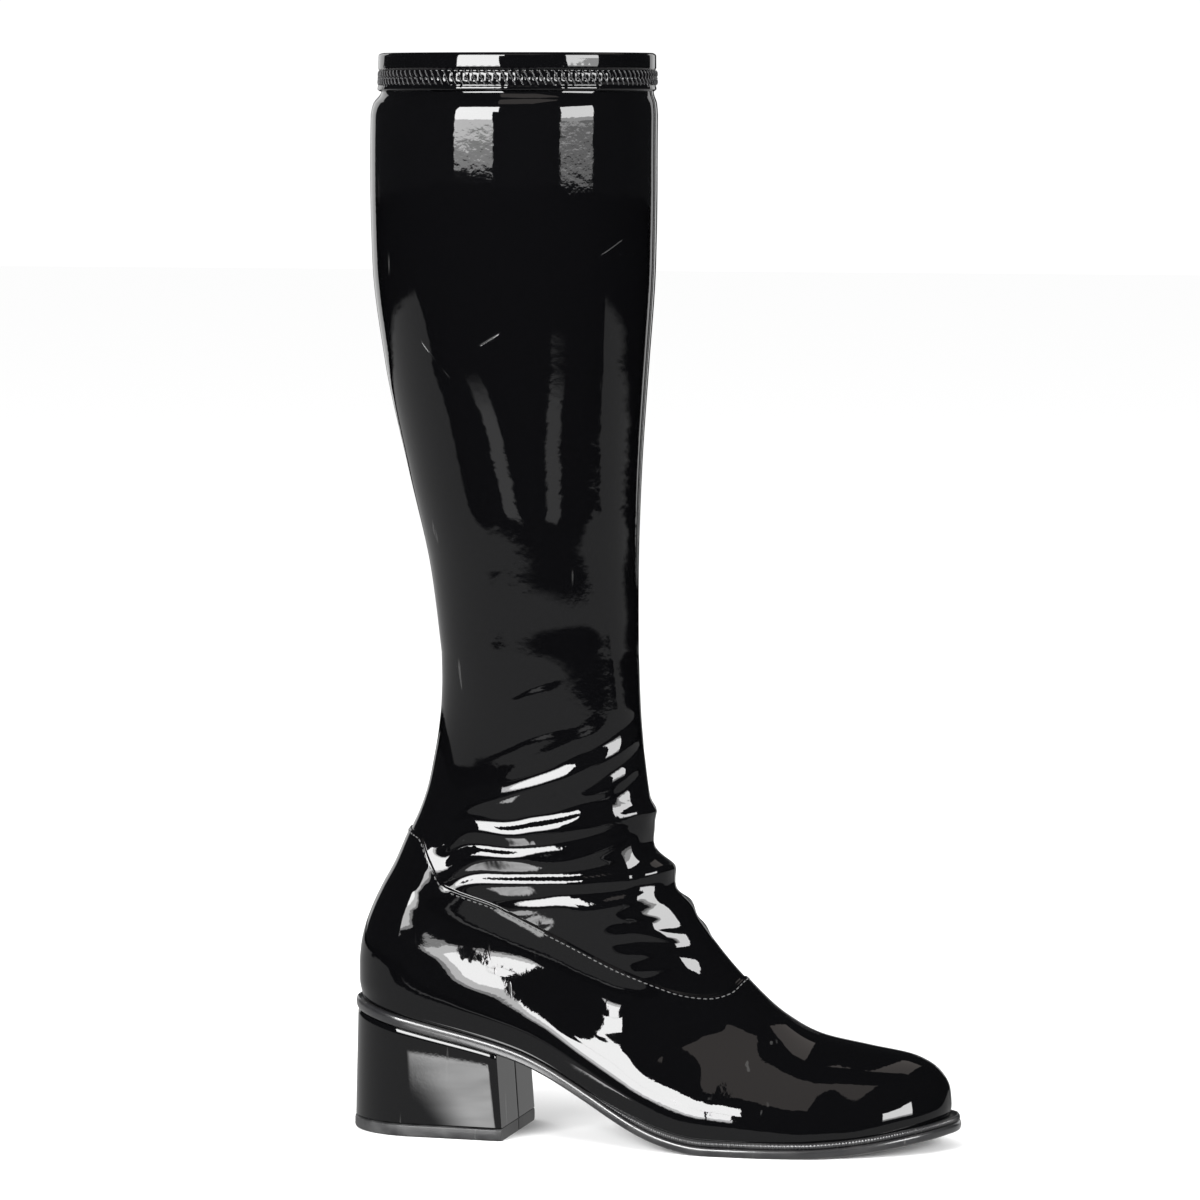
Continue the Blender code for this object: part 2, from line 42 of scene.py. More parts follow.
# sizes the pieces share with the model, in metres
boot = {
    "length": 0.2573, "ballWidth": 0.0840, "seatWidth": 0.0560,
    "toeHeight": 0.0312, "seatRound": 0.0285, "toeRound": 0.040,
    "toeSwing": 0.0060, "swingStart": 0.45,
    "tuck": 0.050, "tuckReach": 0.30, "domeSide": 1.6, "domeTop": 1.8,
    "leanLow": 0.007, "leanHigh": 0.057,
    "neckHeight": 0.2060, "neckLength": 0.0854, "neckWidth": 0.0600, "neckCentre": 0.0795,
    "collarHeight": 0.4585, "calfLength": 0.1225, "calfWidth": 0.1060, "calfLean": 0.0113,
    "wall": 0.0015, "lapStep": 0.0007, "lapDip": 0.0160,
    "heelHeight": 0.0520, "breastHeight": 0.0372, "toeSpring": 0.0075,
    "soleThick": 0.0052, "soleMargin": 0.0032, "toeMargin": 0.0050, "seatMargin": 0.0014,
    "marginSeat": 0.20, "marginForepart": 0.55,
    "heelLength": 0.0685, "heelFlare": 0.0012, "breastRake": 0.0022, "heelInset": 0.0007,
    "liftThick": 0.0052, "gap": 0.0003, "slopeReach": 0.0026, "steep": 10,
}

# along the foot, share of ball width, outer and inner half width
planRows = [
    (0.00, 0.00, 0.98, 0.98), (0.11, 0.00, 1.00, 1.00), (0.27, 0.00, 1.04, 0.98),
    (0.42, 0.35, 0.96, 0.81), (0.54, 0.75, 0.98, 0.85), (0.62, 1.00, 0.99, 0.90),
    (0.70, 1.00, 1.01, 0.98), (0.78, 1.00, 0.98, 0.98), (0.86, 1.00, 0.85, 0.87),
    (1.00, 1.00, 0.76, 0.76),
]
# underside of the sole: along, share of the breast's height, share of the toe spring
underRows = [
    (0.305, 0.905, 0.000), (0.344, 0.790, 0.000), (0.382, 0.653, 0.000),
    (0.422, 0.497, 0.000), (0.460, 0.347, 0.000), (0.499, 0.210, 0.000),
    (0.538, 0.105, 0.000), (0.577, 0.038, 0.000), (0.612, 0.007, 0.000),
    (0.640, 0.000, 0.000), (0.730, 0.000, 0.000), (0.787, 0.000, 0.035),
    (0.842, 0.000, 0.140), (0.896, 0.000, 0.370), (0.951, 0.000, 0.690),
    (1.003, 0.000, 1.000),
]
soleRows = [(0.00, 1.00), (0.27, 0.90), (0.42, 0.76), (0.62, 0.76), (1.00, 0.76)]
# rings of the foot: back, back rise, front, toe, leg, sag, dip, oval, girth
footRows = [
    (0.0050, 0.000, 0.9950, 0.000, 0.000, 1.00, 0.00, 0.00, 0.96),
    (0.0000, 0.047, 0.9995, 0.236, 0.000, 1.00, 0.00, 0.00, 0.96),
    (0.0000, 0.094, 0.9970, 0.459, 0.000, 1.00, 0.00, 0.00, 0.96),
    (0.0025, 0.145, 0.9800, 0.694, 0.000, 0.97, 0.00, 0.00, 0.96),
    (0.0095, 0.202, 0.9370, 0.887, 0.000, 0.92, 0.10, 0.00, 0.96),
    (0.0225, 0.266, 0.8620, 1.000, 0.000, 0.75, 0.30, 0.03, 0.96),
    (0.0400, 0.333, 0.7825, 1.000, 0.026, 0.50, 0.55, 0.10, 0.94),
    (0.0625, 0.407, 0.7200, 1.000, 0.080, 0.25, 0.80, 0.22, 0.90),
    (0.0893, 0.505, 0.6570, 1.000, 0.167, 0.00, 1.00, 0.42, 0.86),
    (0.1050, 0.566, 0.6050, 1.000, 0.262, 0.00, 0.80, 0.62, 0.84),
    (0.1175, 0.630, 0.5575, 1.000, 0.368, 0.00, 0.50, 0.80, 0.82),
    (0.1270, 0.704, 0.5226, 1.000, 0.464, 0.00, 0.25, 0.92, 0.82),
    (0.1355, 0.784, 0.5040, 1.000, 0.563, 0.00, 0.10, 0.97, 0.84),
    (0.1410, 0.865, 0.4910, 1.000, 0.685, 0.00, 0.00, 1.00, 0.89),
    (0.1430, 0.939, 0.4810, 1.000, 0.833, 0.00, 0.00, 1.00, 0.95),
]
# how far the sides lean in above the sole: along the foot, share of the width
leanRows = [
    (0.00, 0.04), (0.15, 0.14), (0.25, 0.26), (0.35, 0.32), (0.45, 0.41), (0.58, 0.38),
    (0.72, 0.18), (0.85, 0.00), (1.00, 0.00),
]
lapRow = 8  # the ring the lap seam follows
lapRows = [
    (0.00, 0.00), (0.05, -0.06), (0.09, 0.45), (0.14, 0.92), (0.30, 0.80), (0.48, 0.88),
    (0.66, 1.00), (0.80, 0.97), (0.90, 0.78), (0.97, 0.40), (1.00, 0.00),
]
# rings of the shaft: rise, swell front to back, swell side to side, lean
shaftRows = [
    (0.00, 0.000, 0.000, 0.00), (0.14, 0.112, 0.240, 0.20), (0.31, 0.400, 0.500, 0.57),
    (0.49, 0.750, 0.760, 0.88), (0.66, 0.966, 0.950, 0.99), (0.80, 1.000, 1.000, 1.00),
    (0.90, 0.995, 0.995, 0.98), (0.92, 0.960, 0.960, 0.95), (0.94, 0.830, 0.830, 0.86),
    (1.00, 0.810, 0.810, 0.84),
]


def easeRows(x, xs, ys):
    # smooth curve through the rows, with no overshoot between them
    xs, ys = np.asarray(xs, float), np.asarray(ys, float)
    step = np.diff(xs)
    slope = np.diff(ys) / step
    tangent = np.zeros(len(xs))
    tangent[0], tangent[-1] = slope[0], slope[-1]
    for i in range(1, len(xs) - 1):
        if slope[i - 1] * slope[i] > 0:
            near, far = 2 * step[i] + step[i - 1], step[i] + 2 * step[i - 1]
            tangent[i] = (near + far) / (near / slope[i - 1] + far / slope[i])
    x = np.clip(x, xs[0], xs[-1])
    i = np.clip(np.searchsorted(xs, x, side="right") - 1, 0, len(step) - 1)
    t = (x - xs[i]) / step[i]
    return (ys[i] * (1 + 2 * t) * (1 - t) ** 2 + step[i] * tangent[i] * t * (1 - t) ** 2
            + ys[i + 1] * t * t * (3 - 2 * t) + step[i] * tangent[i + 1] * t * t * (t - 1))


def tableAt(rows, x, k=1):
    # column k of a table, read at x in its first column
    rows = np.array(rows, float)
    return easeRows(x, rows[:, 0], rows[:, k])


def softStep(t):
    t = np.clip(t, 0, 1)
    return t * t * (3 - 2 * t)


def roundEnd(distance, reach):
    near = np.clip(distance / reach, 0, 1)
    return np.sqrt(1 - (1 - near) ** 2)


featherFront = footRows[0][2] * boot["length"]
backX = (boot["seatMargin"] + boot["heelFlare"] - boot["toeMargin"] - featherFront) / 2
breastX = backX - boot["seatMargin"] + boot["heelLength"]
soleBack = backX - boot["seatMargin"]
soleTip = backX + featherFront + boot["toeMargin"]
neckX = backX + boot["neckCentre"]


def along(x):
    return (x - backX) / boot["length"]


def centreY(x):
    turn = (along(x) - boot["swingStart"]) / (1 - boot["swingStart"])
    return boot["toeSwing"] * softStep(turn)


def planHalf(share, side):
    ball, outer, inner = (tableAt(planRows, share, k) for k in (1, 2, 3))
    width = boot["seatWidth"] + ball * (boot["ballWidth"] - boot["seatWidth"])
    return np.where(side < 0, outer, inner) * width / 2


def makeUnderLine():
    breast = float(along(breastX))
    high, low = boot["heelHeight"], boot["breastHeight"]
    rows = [(0.0, high), (breast / 2, (high + low) / 2), (breast, low)]
    rows += [(a, lift * low + toe * boot["toeSpring"]) for a, lift, toe in underRows]
    return np.array(rows)


underLine = makeUnderLine()


def soleUnder(x):
    return easeRows(along(x), underLine[:, 0], underLine[:, 1])


def soleTop(x):
    reach = boot["slopeReach"]
    slope = (soleUnder(x + reach) - soleUnder(x - reach)) / (2 * reach)
    thick = tableAt(soleRows, along(x))
    return soleUnder(x) + thick * boot["soleThick"] * np.sqrt(1 + slope * slope)


def feather(x):
    return soleTop(x) + boot["gap"]


def soleHalf(x, side, inset=0.0):
    share = (x - soleBack) / (soleTip - soleBack)
    grow = softStep((share - boot["marginSeat"]) / (boot["marginForepart"] - boot["marginSeat"]))
    margin = boot["seatMargin"] + (boot["soleMargin"] - boot["seatMargin"]) * grow
    ends = (roundEnd(x - soleBack - inset, boot["seatRound"] + boot["seatMargin"])
            * roundEnd(soleTip - inset - x, boot["toeRound"] + boot["soleMargin"]))
    return (planHalf(share, side) * (1 - boot["tuck"]) + margin - inset) * ends


def makeFootEnds():
    rows = []
    neck, length = boot["neckHeight"], boot["length"]
    lowFront = feather(np.array(backX + featherFront))
    for back, backRise, front, toe, leg, *shares in footRows:
        lowBack = feather(np.array(backX + back * length))
        rows.append((backX + back * length, lowBack + backRise * (neck - lowBack),
                     backX + front * length,
                     lowFront + toe * boot["toeHeight"]
                     + leg * (neck - lowFront - boot["toeHeight"]), *shares))
    half = boot["neckLength"] / 2
    rows.append((neckX - half, neck, neckX + half, neck, 0.0, 0.0, 1.0, 1.0))
    return np.array(rows, float)


footEnds = makeFootEnds()
footSteps = np.arange(len(footEnds), dtype=float)
profile = np.linspace(0, len(footEnds) - 1, 400)
backLine = np.stack([easeRows(profile, footSteps, footEnds[:, k]) for k in (0, 1)], axis=1)
frontLine = np.stack([easeRows(profile, footSteps, footEnds[:, k]) for k in (2, 3)], axis=1)
nose = int(np.argmax(frontLine[:, 0]))


def lastHalf(x, z, side):
    # half width of the foot's form at a place on its side
    start = np.interp(z, backLine[:, 1], backLine[:, 0])
    tip = np.interp(z, frontLine[:nose + 1, 1], frontLine[:nose + 1, 0])
    share = (x - start) / (tip - start)
    ends = roundEnd(x - start, boot["seatRound"]) * roundEnd(tip - x, boot["toeRound"])
    line = frontLine[nose:][::-1]
    ridge = np.interp(x, line[:, 0], line[:, 1]) + boot["steep"] * np.maximum(line[0, 0] - x, 0)
    t = np.clip((z - feather(x)) / (ridge - feather(x)), 0, 1)
    dome = (1 - t ** boot["domeSide"]) ** (1 / boot["domeTop"])
    tuck = 1 - boot["tuck"] * np.clip(1 - t / boot["tuckReach"], 0, 1) ** 2
    height = (z - feather(x) - boot["leanLow"]) / (boot["leanHigh"] - boot["leanLow"])
    lean = 1 - tableAt(leanRows, share) * softStep(height)
    return planHalf(share, side) * ends * dome * tuck * lean


def footSurface(step, angle):
    # angle runs from the back round the outer side to the front and on
    step, angle = np.broadcast_arrays(step, angle)
    x0, z0, x1, z1, sag, dip, oval, girth = (easeRows(step, footSteps, footEnds[:, k])
                                             for k in range(8))
    angle = angle + 0.125 * np.sin(2 * angle) * (1 - oval)
    s = (1 - np.cos(angle)) / 2
    side = np.where(np.sin(angle) >= 0, -1.0, 1.0)
    x = x0 + s * (x1 - x0)
    lap = tableAt(lapRows, s)
    baseX = footEnds[0, 0] + s * (footEnds[0, 2] - footEnds[0, 0])
    ends = feather(footEnds[0, [0, 2]])
    hang = ends[0] + s * (ends[1] - ends[0]) - feather(baseX)
    z = z0 + s * (z1 - z0) - sag * hang - dip * boot["lapDip"] * lap
    z = np.where(step <= 0, feather(x), z)
    leg = girth * boot["neckWidth"] / 2 * np.abs(np.sin(angle))
    last = np.where((s <= 0) | (s >= 1), 0, lastHalf(x, z, side))
    half = (1 - oval) * last + oval * leg
    return np.stack([x, centreY(x) * (1 - oval) + side * half, z], axis=-1)


def shaftSurface(rise, angle, out=0.0):
    rise, angle = np.broadcast_arrays(rise, angle)
    swell, wide, lean = (tableAt(shaftRows, rise, k) for k in (1, 2, 3))
    halfLength = (boot["neckLength"] + swell * (boot["calfLength"] - boot["neckLength"])) / 2
    halfWidth = (boot["neckWidth"] + wide * (boot["calfWidth"] - boot["neckWidth"])) / 2
    z = boot["neckHeight"] + rise * (boot["collarHeight"] - boot["neckHeight"])
    x = neckX - lean * boot["calfLean"] - (halfLength + out) * np.cos(angle)
    return np.stack([x, -(halfWidth + out) * np.sin(angle), z], axis=-1)


# shader groups, built once and placed in each material with its own values

def newGroup(name, takes, gives):
    tree = bpy.data.node_groups.new(name, "ShaderNodeTree")
    for label, kind, value in takes:
        socket = tree.interface.new_socket(label, in_out="INPUT", socket_type=kind)
        if value is not None:
            socket.default_value = value
    for label, kind in gives:
        tree.interface.new_socket(label, in_out="OUTPUT", socket_type=kind)
    return tree, tree.nodes.new("NodeGroupInput"), tree.nodes.new("NodeGroupOutput")


def feed(tree, socket, value):
    # a plain number is set on the socket, anything else is linked to it
    if isinstance(value, (int, float)):
        socket.default_value = value
    else:
        tree.links.new(value, socket)


def addMath(tree, kind, first, second=None, third=None, clamp=False):
    node = tree.nodes.new("ShaderNodeMath")
    node.operation = kind
    node.use_clamp = clamp
    for i, value in enumerate((first, second, third)):
        if value is not None:
            feed(tree, node.inputs[i], value)
    return node.outputs[0]


def addProduct(tree, first, *others):
    for value in others:
        first = addMath(tree, "MULTIPLY", first, value)
    return first


def addNoise(tree, place, scale, detail=2.0, rough=0.5, distort=0.0):
    node = tree.nodes.new("ShaderNodeTexNoise")
    node.inputs["Detail"].default_value = detail
    node.inputs["Roughness"].default_value = rough
    node.inputs["Distortion"].default_value = distort
    feed(tree, node.inputs["Scale"], scale)
    tree.links.new(place, node.inputs["Vector"])
    return node.outputs["Fac"]


def addRamp(tree, value, low, high):
    node = tree.nodes.new("ShaderNodeMapRange")
    node.interpolation_type = "SMOOTHSTEP"
    tree.links.new(value, node.inputs["Value"])
    feed(tree, node.inputs["From Min"], low)
    feed(tree, node.inputs["From Max"], high)
    return node.outputs["Result"]


def makeRippleGroup():
    # low wrinkles of the glossy skin: height in metres, stronger where the mask says
    takes = [("Vector", "NodeSocketVector", None), ("Size", "NodeSocketFloat", 0.003),
             ("Height", "NodeSocketFloat", 0.00002), ("Extra", "NodeSocketFloat", 0.0),
             ("Patch Size", "NodeSocketFloat", 0.03)]
    tree, start, end = newGroup("skinRipple", takes, [("Height", "NodeSocketFloat")])
    place = start.outputs["Vector"]
    fine = addNoise(tree, place, addMath(tree, "DIVIDE", 1.0, start.outputs["Size"]), 3.0, 0.55)
    patch = addNoise(tree, place, addMath(tree, "DIVIDE", 1.0, start.outputs["Patch Size"]), 1.0)
    mask = addMath(tree, "ADD", addRamp(tree, patch, 0.42, 0.62), start.outputs["Extra"])
    mask = addMath(tree, "MULTIPLY_ADD", mask, 0.85, 0.15)
    height = addMath(tree, "MULTIPLY", fine, start.outputs["Height"])
    tree.links.new(addMath(tree, "MULTIPLY", height, mask), end.inputs["Height"])
    return tree


def makeSeamGroup():
    # groove with a low lip each side of it, from a distance in metres
    takes = [("Distance", "NodeSocketFloat", 0.0), ("Width", "NodeSocketFloat", 0.0006),
             ("Depth", "NodeSocketFloat", 0.0003), ("Lip", "NodeSocketFloat", 0.0002)]
    tree, start, end = newGroup("seamGroove", takes, [("Height", "NodeSocketFloat")])
    away = addMath(tree, "DIVIDE", addMath(tree, "ABSOLUTE", start.outputs["Distance"]),
                   start.outputs["Width"])
    groove = addMath(tree, "SUBTRACT", 1.0, addRamp(tree, away, 0.2, 1.2))
    lip = addMath(tree, "SUBTRACT", 1.0, addRamp(tree, away, 1.2, 4.5))
    height = addMath(tree, "SUBTRACT", addMath(tree, "MULTIPLY", lip, start.outputs["Lip"]),
                     addMath(tree, "MULTIPLY", groove, start.outputs["Depth"]))
    tree.links.new(height, end.inputs["Height"])
    return tree


def makeScratchGroup():
    # sparse hairline marks: 0 on clean skin, up to 1 in a mark
    takes = [("Vector", "NodeSocketVector", None), ("Size", "NodeSocketFloat", 0.02),
             ("Amount", "NodeSocketFloat", 0.3)]
    tree, start, end = newGroup("hairMarks", takes, [("Mask", "NodeSocketFloat")])
    stretch = tree.nodes.new("ShaderNodeMapping")
    stretch.inputs["Rotation"].default_value = (0.5, 0.9, 0.3)
    stretch.inputs["Scale"].default_value = (1.0, 1.0, 0.06)
    tree.links.new(start.outputs["Vector"], stretch.inputs["Vector"])
    scale = addMath(tree, "DIVIDE", 8.0, start.outputs["Size"])
    lines = addNoise(tree, stretch.outputs["Vector"], scale, 1.0, 0.4)
    sparse = addNoise(tree, start.outputs["Vector"],
                      addMath(tree, "DIVIDE", 1.0, start.outputs["Size"]), 1.0)
    edge = addMath(tree, "MULTIPLY_ADD", start.outputs["Amount"], -0.12, 0.78)
    mask = addRamp(tree, lines, edge, addMath(tree, "ADD", edge, 0.04))
    mask = addMath(tree, "MULTIPLY", mask, addRamp(tree, sparse, 0.48, 0.60))
    tree.links.new(mask, end.inputs["Mask"])
    return tree


def makeFilmGroup():
    # handling film and dust: a soft mask for roughness and a little grey
    takes = [("Vector", "NodeSocketVector", None), ("Size", "NodeSocketFloat", 0.05),
             ("Amount", "NodeSocketFloat", 0.5)]
    tree, start, end = newGroup("handlingFilm", takes, [("Mask", "NodeSocketFloat")])
    scale = addMath(tree, "DIVIDE", 1.0, start.outputs["Size"])
    broad = addNoise(tree, start.outputs["Vector"], scale, 3.0, 0.6, 0.4)
    specks = addNoise(tree, start.outputs["Vector"], addMath(tree, "MULTIPLY", scale, 60.0), 1.0)
    mask = addMath(tree, "MULTIPLY", addRamp(tree, broad, 0.40, 0.70), start.outputs["Amount"])
    mask = addMath(tree, "MULTIPLY_ADD", addRamp(tree, specks, 0.70, 0.80), 0.3, mask)
    tree.links.new(mask, end.inputs["Mask"])
    return tree


def makeKnitGroup():
    # fine knit of a fabric backing, on a surface seen from any side; its shade output is painted
    # shade, darker in the dips of the knit and lighter on its tops
    takes = [("Vector", "NodeSocketVector", None), ("Pitch", "NodeSocketFloat", 0.0008),
             ("Height", "NodeSocketFloat", 0.0001)]
    tree, start, end = newGroup("knitBacking", takes,
                                [("Height", "NodeSocketFloat"), ("Painted Shade", "NodeSocketFloat")])
    split = tree.nodes.new("ShaderNodeSeparateXYZ")
    tree.links.new(start.outputs["Vector"], split.inputs["Vector"])
    turns = addMath(tree, "DIVIDE", 6.2832, start.outputs["Pitch"])
    round_ = addMath(tree, "ADD", split.outputs["X"], split.outputs["Y"])
    rows = addMath(tree, "SINE", addMath(tree, "MULTIPLY", split.outputs["Z"], turns))
    wales = addMath(tree, "SINE", addMath(tree, "MULTIPLY", round_, turns))
    both = addMath(tree, "MULTIPLY_ADD", addMath(tree, "MULTIPLY", rows, wales), 0.5, 0.5)
    tree.links.new(addMath(tree, "MULTIPLY", both, start.outputs["Height"]),
                   end.inputs["Height"])
    tree.links.new(both, end.inputs["Painted Shade"])
    return tree


rippleGroup = makeRippleGroup()
seamGroup = makeSeamGroup()
scratchGroup = makeScratchGroup()
filmGroup = makeFilmGroup()
knitGroup = makeKnitGroup()


def startMaterial(name, colour, rough, **sockets):
    material = bpy.data.materials.new(name)
    material.use_nodes = True
    shader = material.node_tree.nodes["Principled BSDF"]
    shader.inputs["Base Color"].default_value = (*colour, 1)
    shader.inputs["Roughness"].default_value = rough
    for label, value in sockets.items():
        shader.inputs[label.replace("_", " ")].default_value = value
    place = material.node_tree.nodes.new("ShaderNodeTexCoord")
    return material, material.node_tree, shader, place.outputs["Object"]


def useGroup(tree, group, **values):
    node = tree.nodes.new("ShaderNodeGroup")
    node.node_tree = group
    for label, value in values.items():
        feed(tree, node.inputs[label.replace("_", " ")], value)
    return node


def pointValue(tree, name):
    node = tree.nodes.new("ShaderNodeAttribute")
    node.attribute_name = name
    return node.outputs["Fac"]


def linkBump(tree, shader, height, coat=True):
    bump = tree.nodes.new("ShaderNodeBump")
    bump.inputs["Strength"].default_value = 1.0
    bump.inputs["Distance"].default_value = 1.0
    tree.links.new(height, bump.inputs["Height"])
    tree.links.new(bump.outputs["Normal"], shader.inputs["Normal"])
    if coat:
        tree.links.new(bump.outputs["Normal"], shader.inputs["Coat Normal"])


def mixColour(tree, factor, low, high):
    node = tree.nodes.new("ShaderNodeMix")
    node.data_type = "RGBA"
    tree.links.new(factor, node.inputs[0])
    node.inputs[6].default_value = (*low, 1)
    node.inputs[7].default_value = (*high, 1)
    return node.outputs[2]


def addVectorMath(tree, kind, first, second=None):
    node = tree.nodes.new("ShaderNodeVectorMath")
    node.operation = kind
    tree.links.new(first, node.inputs[0])
    if second is not None:
        node.inputs[1].default_value = second
    return node


def addScratch(tree, place, start, end, width):
    # 1 on a straight hairline between two spots of the skin, in metres, 0 elsewhere
    run = Vector(end) - Vector(start)
    way = addVectorMath(tree, "SUBTRACT", place, start).outputs["Vector"]
    share = addVectorMath(tree, "DOT_PRODUCT", way, run / run.length_squared)
    across = addVectorMath(tree, "CROSS_PRODUCT", way, run.normalized())
    off = addVectorMath(tree, "LENGTH", across.outputs["Vector"])
    middle = addMath(tree, "ABSOLUTE", addMath(tree, "SUBTRACT", share.outputs["Value"], 0.5))
    line = addRamp(tree, off.outputs["Value"], width, 0.4 * width)
    return addMath(tree, "MULTIPLY", line, addRamp(tree, middle, 0.5, 0.3))


# scratches of the shaft's outer side: two ends and half width, in mm
shaftScratches = [((-63, -48.4, 338), (-53, -49.2, 344), 0.45),
                  ((-91, -41.6, 341), (-76, -44.6, 324), 0.35),
                  ((-15, -34.5, 375), (-6, -23.5, 383), 0.30)]

patentLook = {
    "black": (0.0012, 0.0012, 0.0014), "worn": (0.022, 0.022, 0.022), "rough": 0.35,
    "filmRough": 0.16, "rippleSize": 0.0032, "rippleHeight": 0.000022,
    "broadSize": 0.016, "broadHeight": 0.00010, "seamWidth": 0.0005, "seamDepth": 0.00030,
    "seamLip": 0.00022, "scratch": 0.35,
}


def makePatent(name, look, seams=False):
    material, tree, shader, place = startMaterial(
        name, look["black"], look["rough"], Specular_IOR_Level=0.0, IOR=1.5,
        Coat_Weight=1.0, Coat_Roughness=0.025, Coat_IOR=1.42)
    extra = pointValue(tree, "ripple") if seams else 0.0
    fine = useGroup(tree, rippleGroup, Vector=place, Size=look["rippleSize"],
                    Height=look["rippleHeight"], Extra=extra)
    broad = useGroup(tree, rippleGroup, Vector=place, Size=look["broadSize"],
                     Height=look["broadHeight"], Patch_Size=0.08)
    height = addMath(tree, "ADD", fine.outputs["Height"], broad.outputs["Height"])
    if seams:
        for label in ("seamFront", "seamBack"):
            groove = useGroup(tree, seamGroup, Distance=pointValue(tree, label),
                              Width=look["seamWidth"], Depth=look["seamDepth"],
                              Lip=look["seamLip"])
            height = addMath(tree, "ADD", height, groove.outputs["Height"])
    marks = useGroup(tree, scratchGroup, Vector=place, Size=0.03, Amount=look["scratch"])
    height = addMath(tree, "MULTIPLY_ADD", marks.outputs["Mask"], -0.00002, height)
    worn = marks.outputs["Mask"]
    for start, end, half in shaftScratches if seams else []:
        line = addScratch(tree, place, [v / 1000 for v in start], [v / 1000 for v in end],
                          half / 1000)
        height = addMath(tree, "MULTIPLY_ADD", line, -0.00010, height)
        worn = addMath(tree, "MAXIMUM", worn, line)
    linkBump(tree, shader, height)
    film = useGroup(tree, filmGroup, Vector=place, Size=0.045, Amount=0.5)
    tree.links.new(mixColour(tree, worn, look["black"], look["worn"]),
                   shader.inputs["Base Color"])
    rough = addMath(tree, "MULTIPLY_ADD", film.outputs["Mask"], look["filmRough"],
                    look["rough"])
    tree.links.new(rough, shader.inputs["Roughness"])
    return material


def makeThread(name, colour, rough):
    material, tree, shader, place = startMaterial(name, colour, rough, Sheen_Weight=0.2)
    twist = tree.nodes.new("ShaderNodeTexWave")
    twist.bands_direction = "DIAGONAL"
    twist.inputs["Scale"].default_value = 900
    tree.links.new(place, twist.inputs["Vector"])
    linkBump(tree, shader, addMath(tree, "MULTIPLY", twist.outputs["Fac"], 0.00006), False)
    # painted shade: the thread's colour is darker where its twist bump sinks
    twistGrooveShade = tuple(0.55 * c for c in colour)
    tree.links.new(mixColour(tree, twist.outputs["Fac"], twistGrooveShade, colour),
                   shader.inputs["Base Color"])
    return material


def makeSoleEdge(name, look):
    material, tree, shader, place = startMaterial(
        name, look["black"], look["rough"], Specular_IOR_Level=0.5, Coat_Weight=look["coat"],
        Coat_Roughness=0.10, Coat_IOR=1.45)
    grain = addNoise(tree, place, 1 / look["grain"], 4.0, 0.6)
    film = useGroup(tree, filmGroup, Vector=place, Size=look["filmSize"], Amount=look["film"])
    marks = useGroup(tree, scratchGroup, Vector=place, Size=0.012, Amount=look["scratch"])
    height = addMath(tree, "MULTIPLY", grain, look["grainHeight"])
    height = addMath(tree, "MULTIPLY_ADD", marks.outputs["Mask"], -0.00005, height)
    linkBump(tree, shader, height)
    wear = addMath(tree, "MAXIMUM", marks.outputs["Mask"], film.outputs["Mask"], clamp=True)
    tree.links.new(mixColour(tree, wear, look["black"], look["worn"]),
                   shader.inputs["Base Color"])
    rough = addMath(tree, "MULTIPLY_ADD", film.outputs["Mask"], 0.25, look["rough"])
    tree.links.new(rough, shader.inputs["Roughness"])
    return material


def makeKnit(name, dark, light):
    material, tree, shader, place = startMaterial(name, dark, 0.85, Sheen_Weight=0.3)
    knit = useGroup(tree, knitGroup, Vector=place)
    film = useGroup(tree, filmGroup, Vector=place, Size=0.02, Amount=0.4)
    linkBump(tree, shader, knit.outputs["Height"], False)
    # painted shade of the knit, darker in its dips, lifted a little where the film mask lays
    # dust
    paintedShadeAndDust = addMath(tree, "MULTIPLY_ADD", film.outputs["Mask"], 0.4, knit.outputs["Painted Shade"],
                    clamp=True)
    tree.links.new(mixColour(tree, paintedShadeAndDust, dark, light), shader.inputs["Base Color"])
    return material


patent = makePatent("blackPatent", patentLook, seams=True)
bandPatent = makePatent("bandPatent", {**patentLook, "rippleHeight": 0.000012,
                                       "broadHeight": 0.00004})
heelPatent = makePatent("heelPatent", {**patentLook, "rippleSize": 0.0016,
                                       "rippleHeight": 0.000010, "broadHeight": 0.00002,
                                       "scratch": 0.8})
blackThread = makeThread("blackThread", (0.020, 0.020, 0.022), 0.45)
seamThread = makeThread("seamThread", (0.07, 0.07, 0.07), 0.6)
soleLook = {"black": (0.010, 0.010, 0.011), "worn": (0.040, 0.039, 0.038), "rough": 0.28,
            "coat": 0.45, "grain": 0.0010, "grainHeight": 0.00002, "film": 0.35,
            "filmSize": 0.02, "scratch": 0.8}
soleMaterial = makeSoleEdge("soleEdge", soleLook)
weltMaterial = makeSoleEdge("weltRibs", {**soleLook, "rough": 0.35, "coat": 0.4})
liftMaterial = makeSoleEdge("liftRubber", {**soleLook, "rough": 0.5, "coat": 0.15,
                                           "worn": (0.06, 0.06, 0.06), "film": 0.6,
                                           "grainHeight": 0.00005})
lining = makeKnit("liningKnit", (0.012, 0.012, 0.013), (0.045, 0.045, 0.047))
sock = makeKnit("insoleSock", (0.25, 0.21, 0.16), (0.42, 0.36, 0.28))
print("materials made")


def makePiece(name, verts, faces, materials):
    mesh = bpy.data.meshes.new(name)
    mesh.from_pydata([tuple(v) for v in verts], [], [tuple(f) for f in faces])
    mesh.validate()
    mesh.shade_smooth()
    for material in materials:
        mesh.materials.append(material)
    piece = bpy.data.objects.new(name, mesh)
    bpy.context.scene.collection.objects.link(piece)
    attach(piece, "root")
    return piece


def addValues(piece, name, values):
    layer = piece.data.attributes.new(name, "FLOAT", "POINT")
    layer.data.foreach_set("value", np.asarray(values, np.float32).ravel())


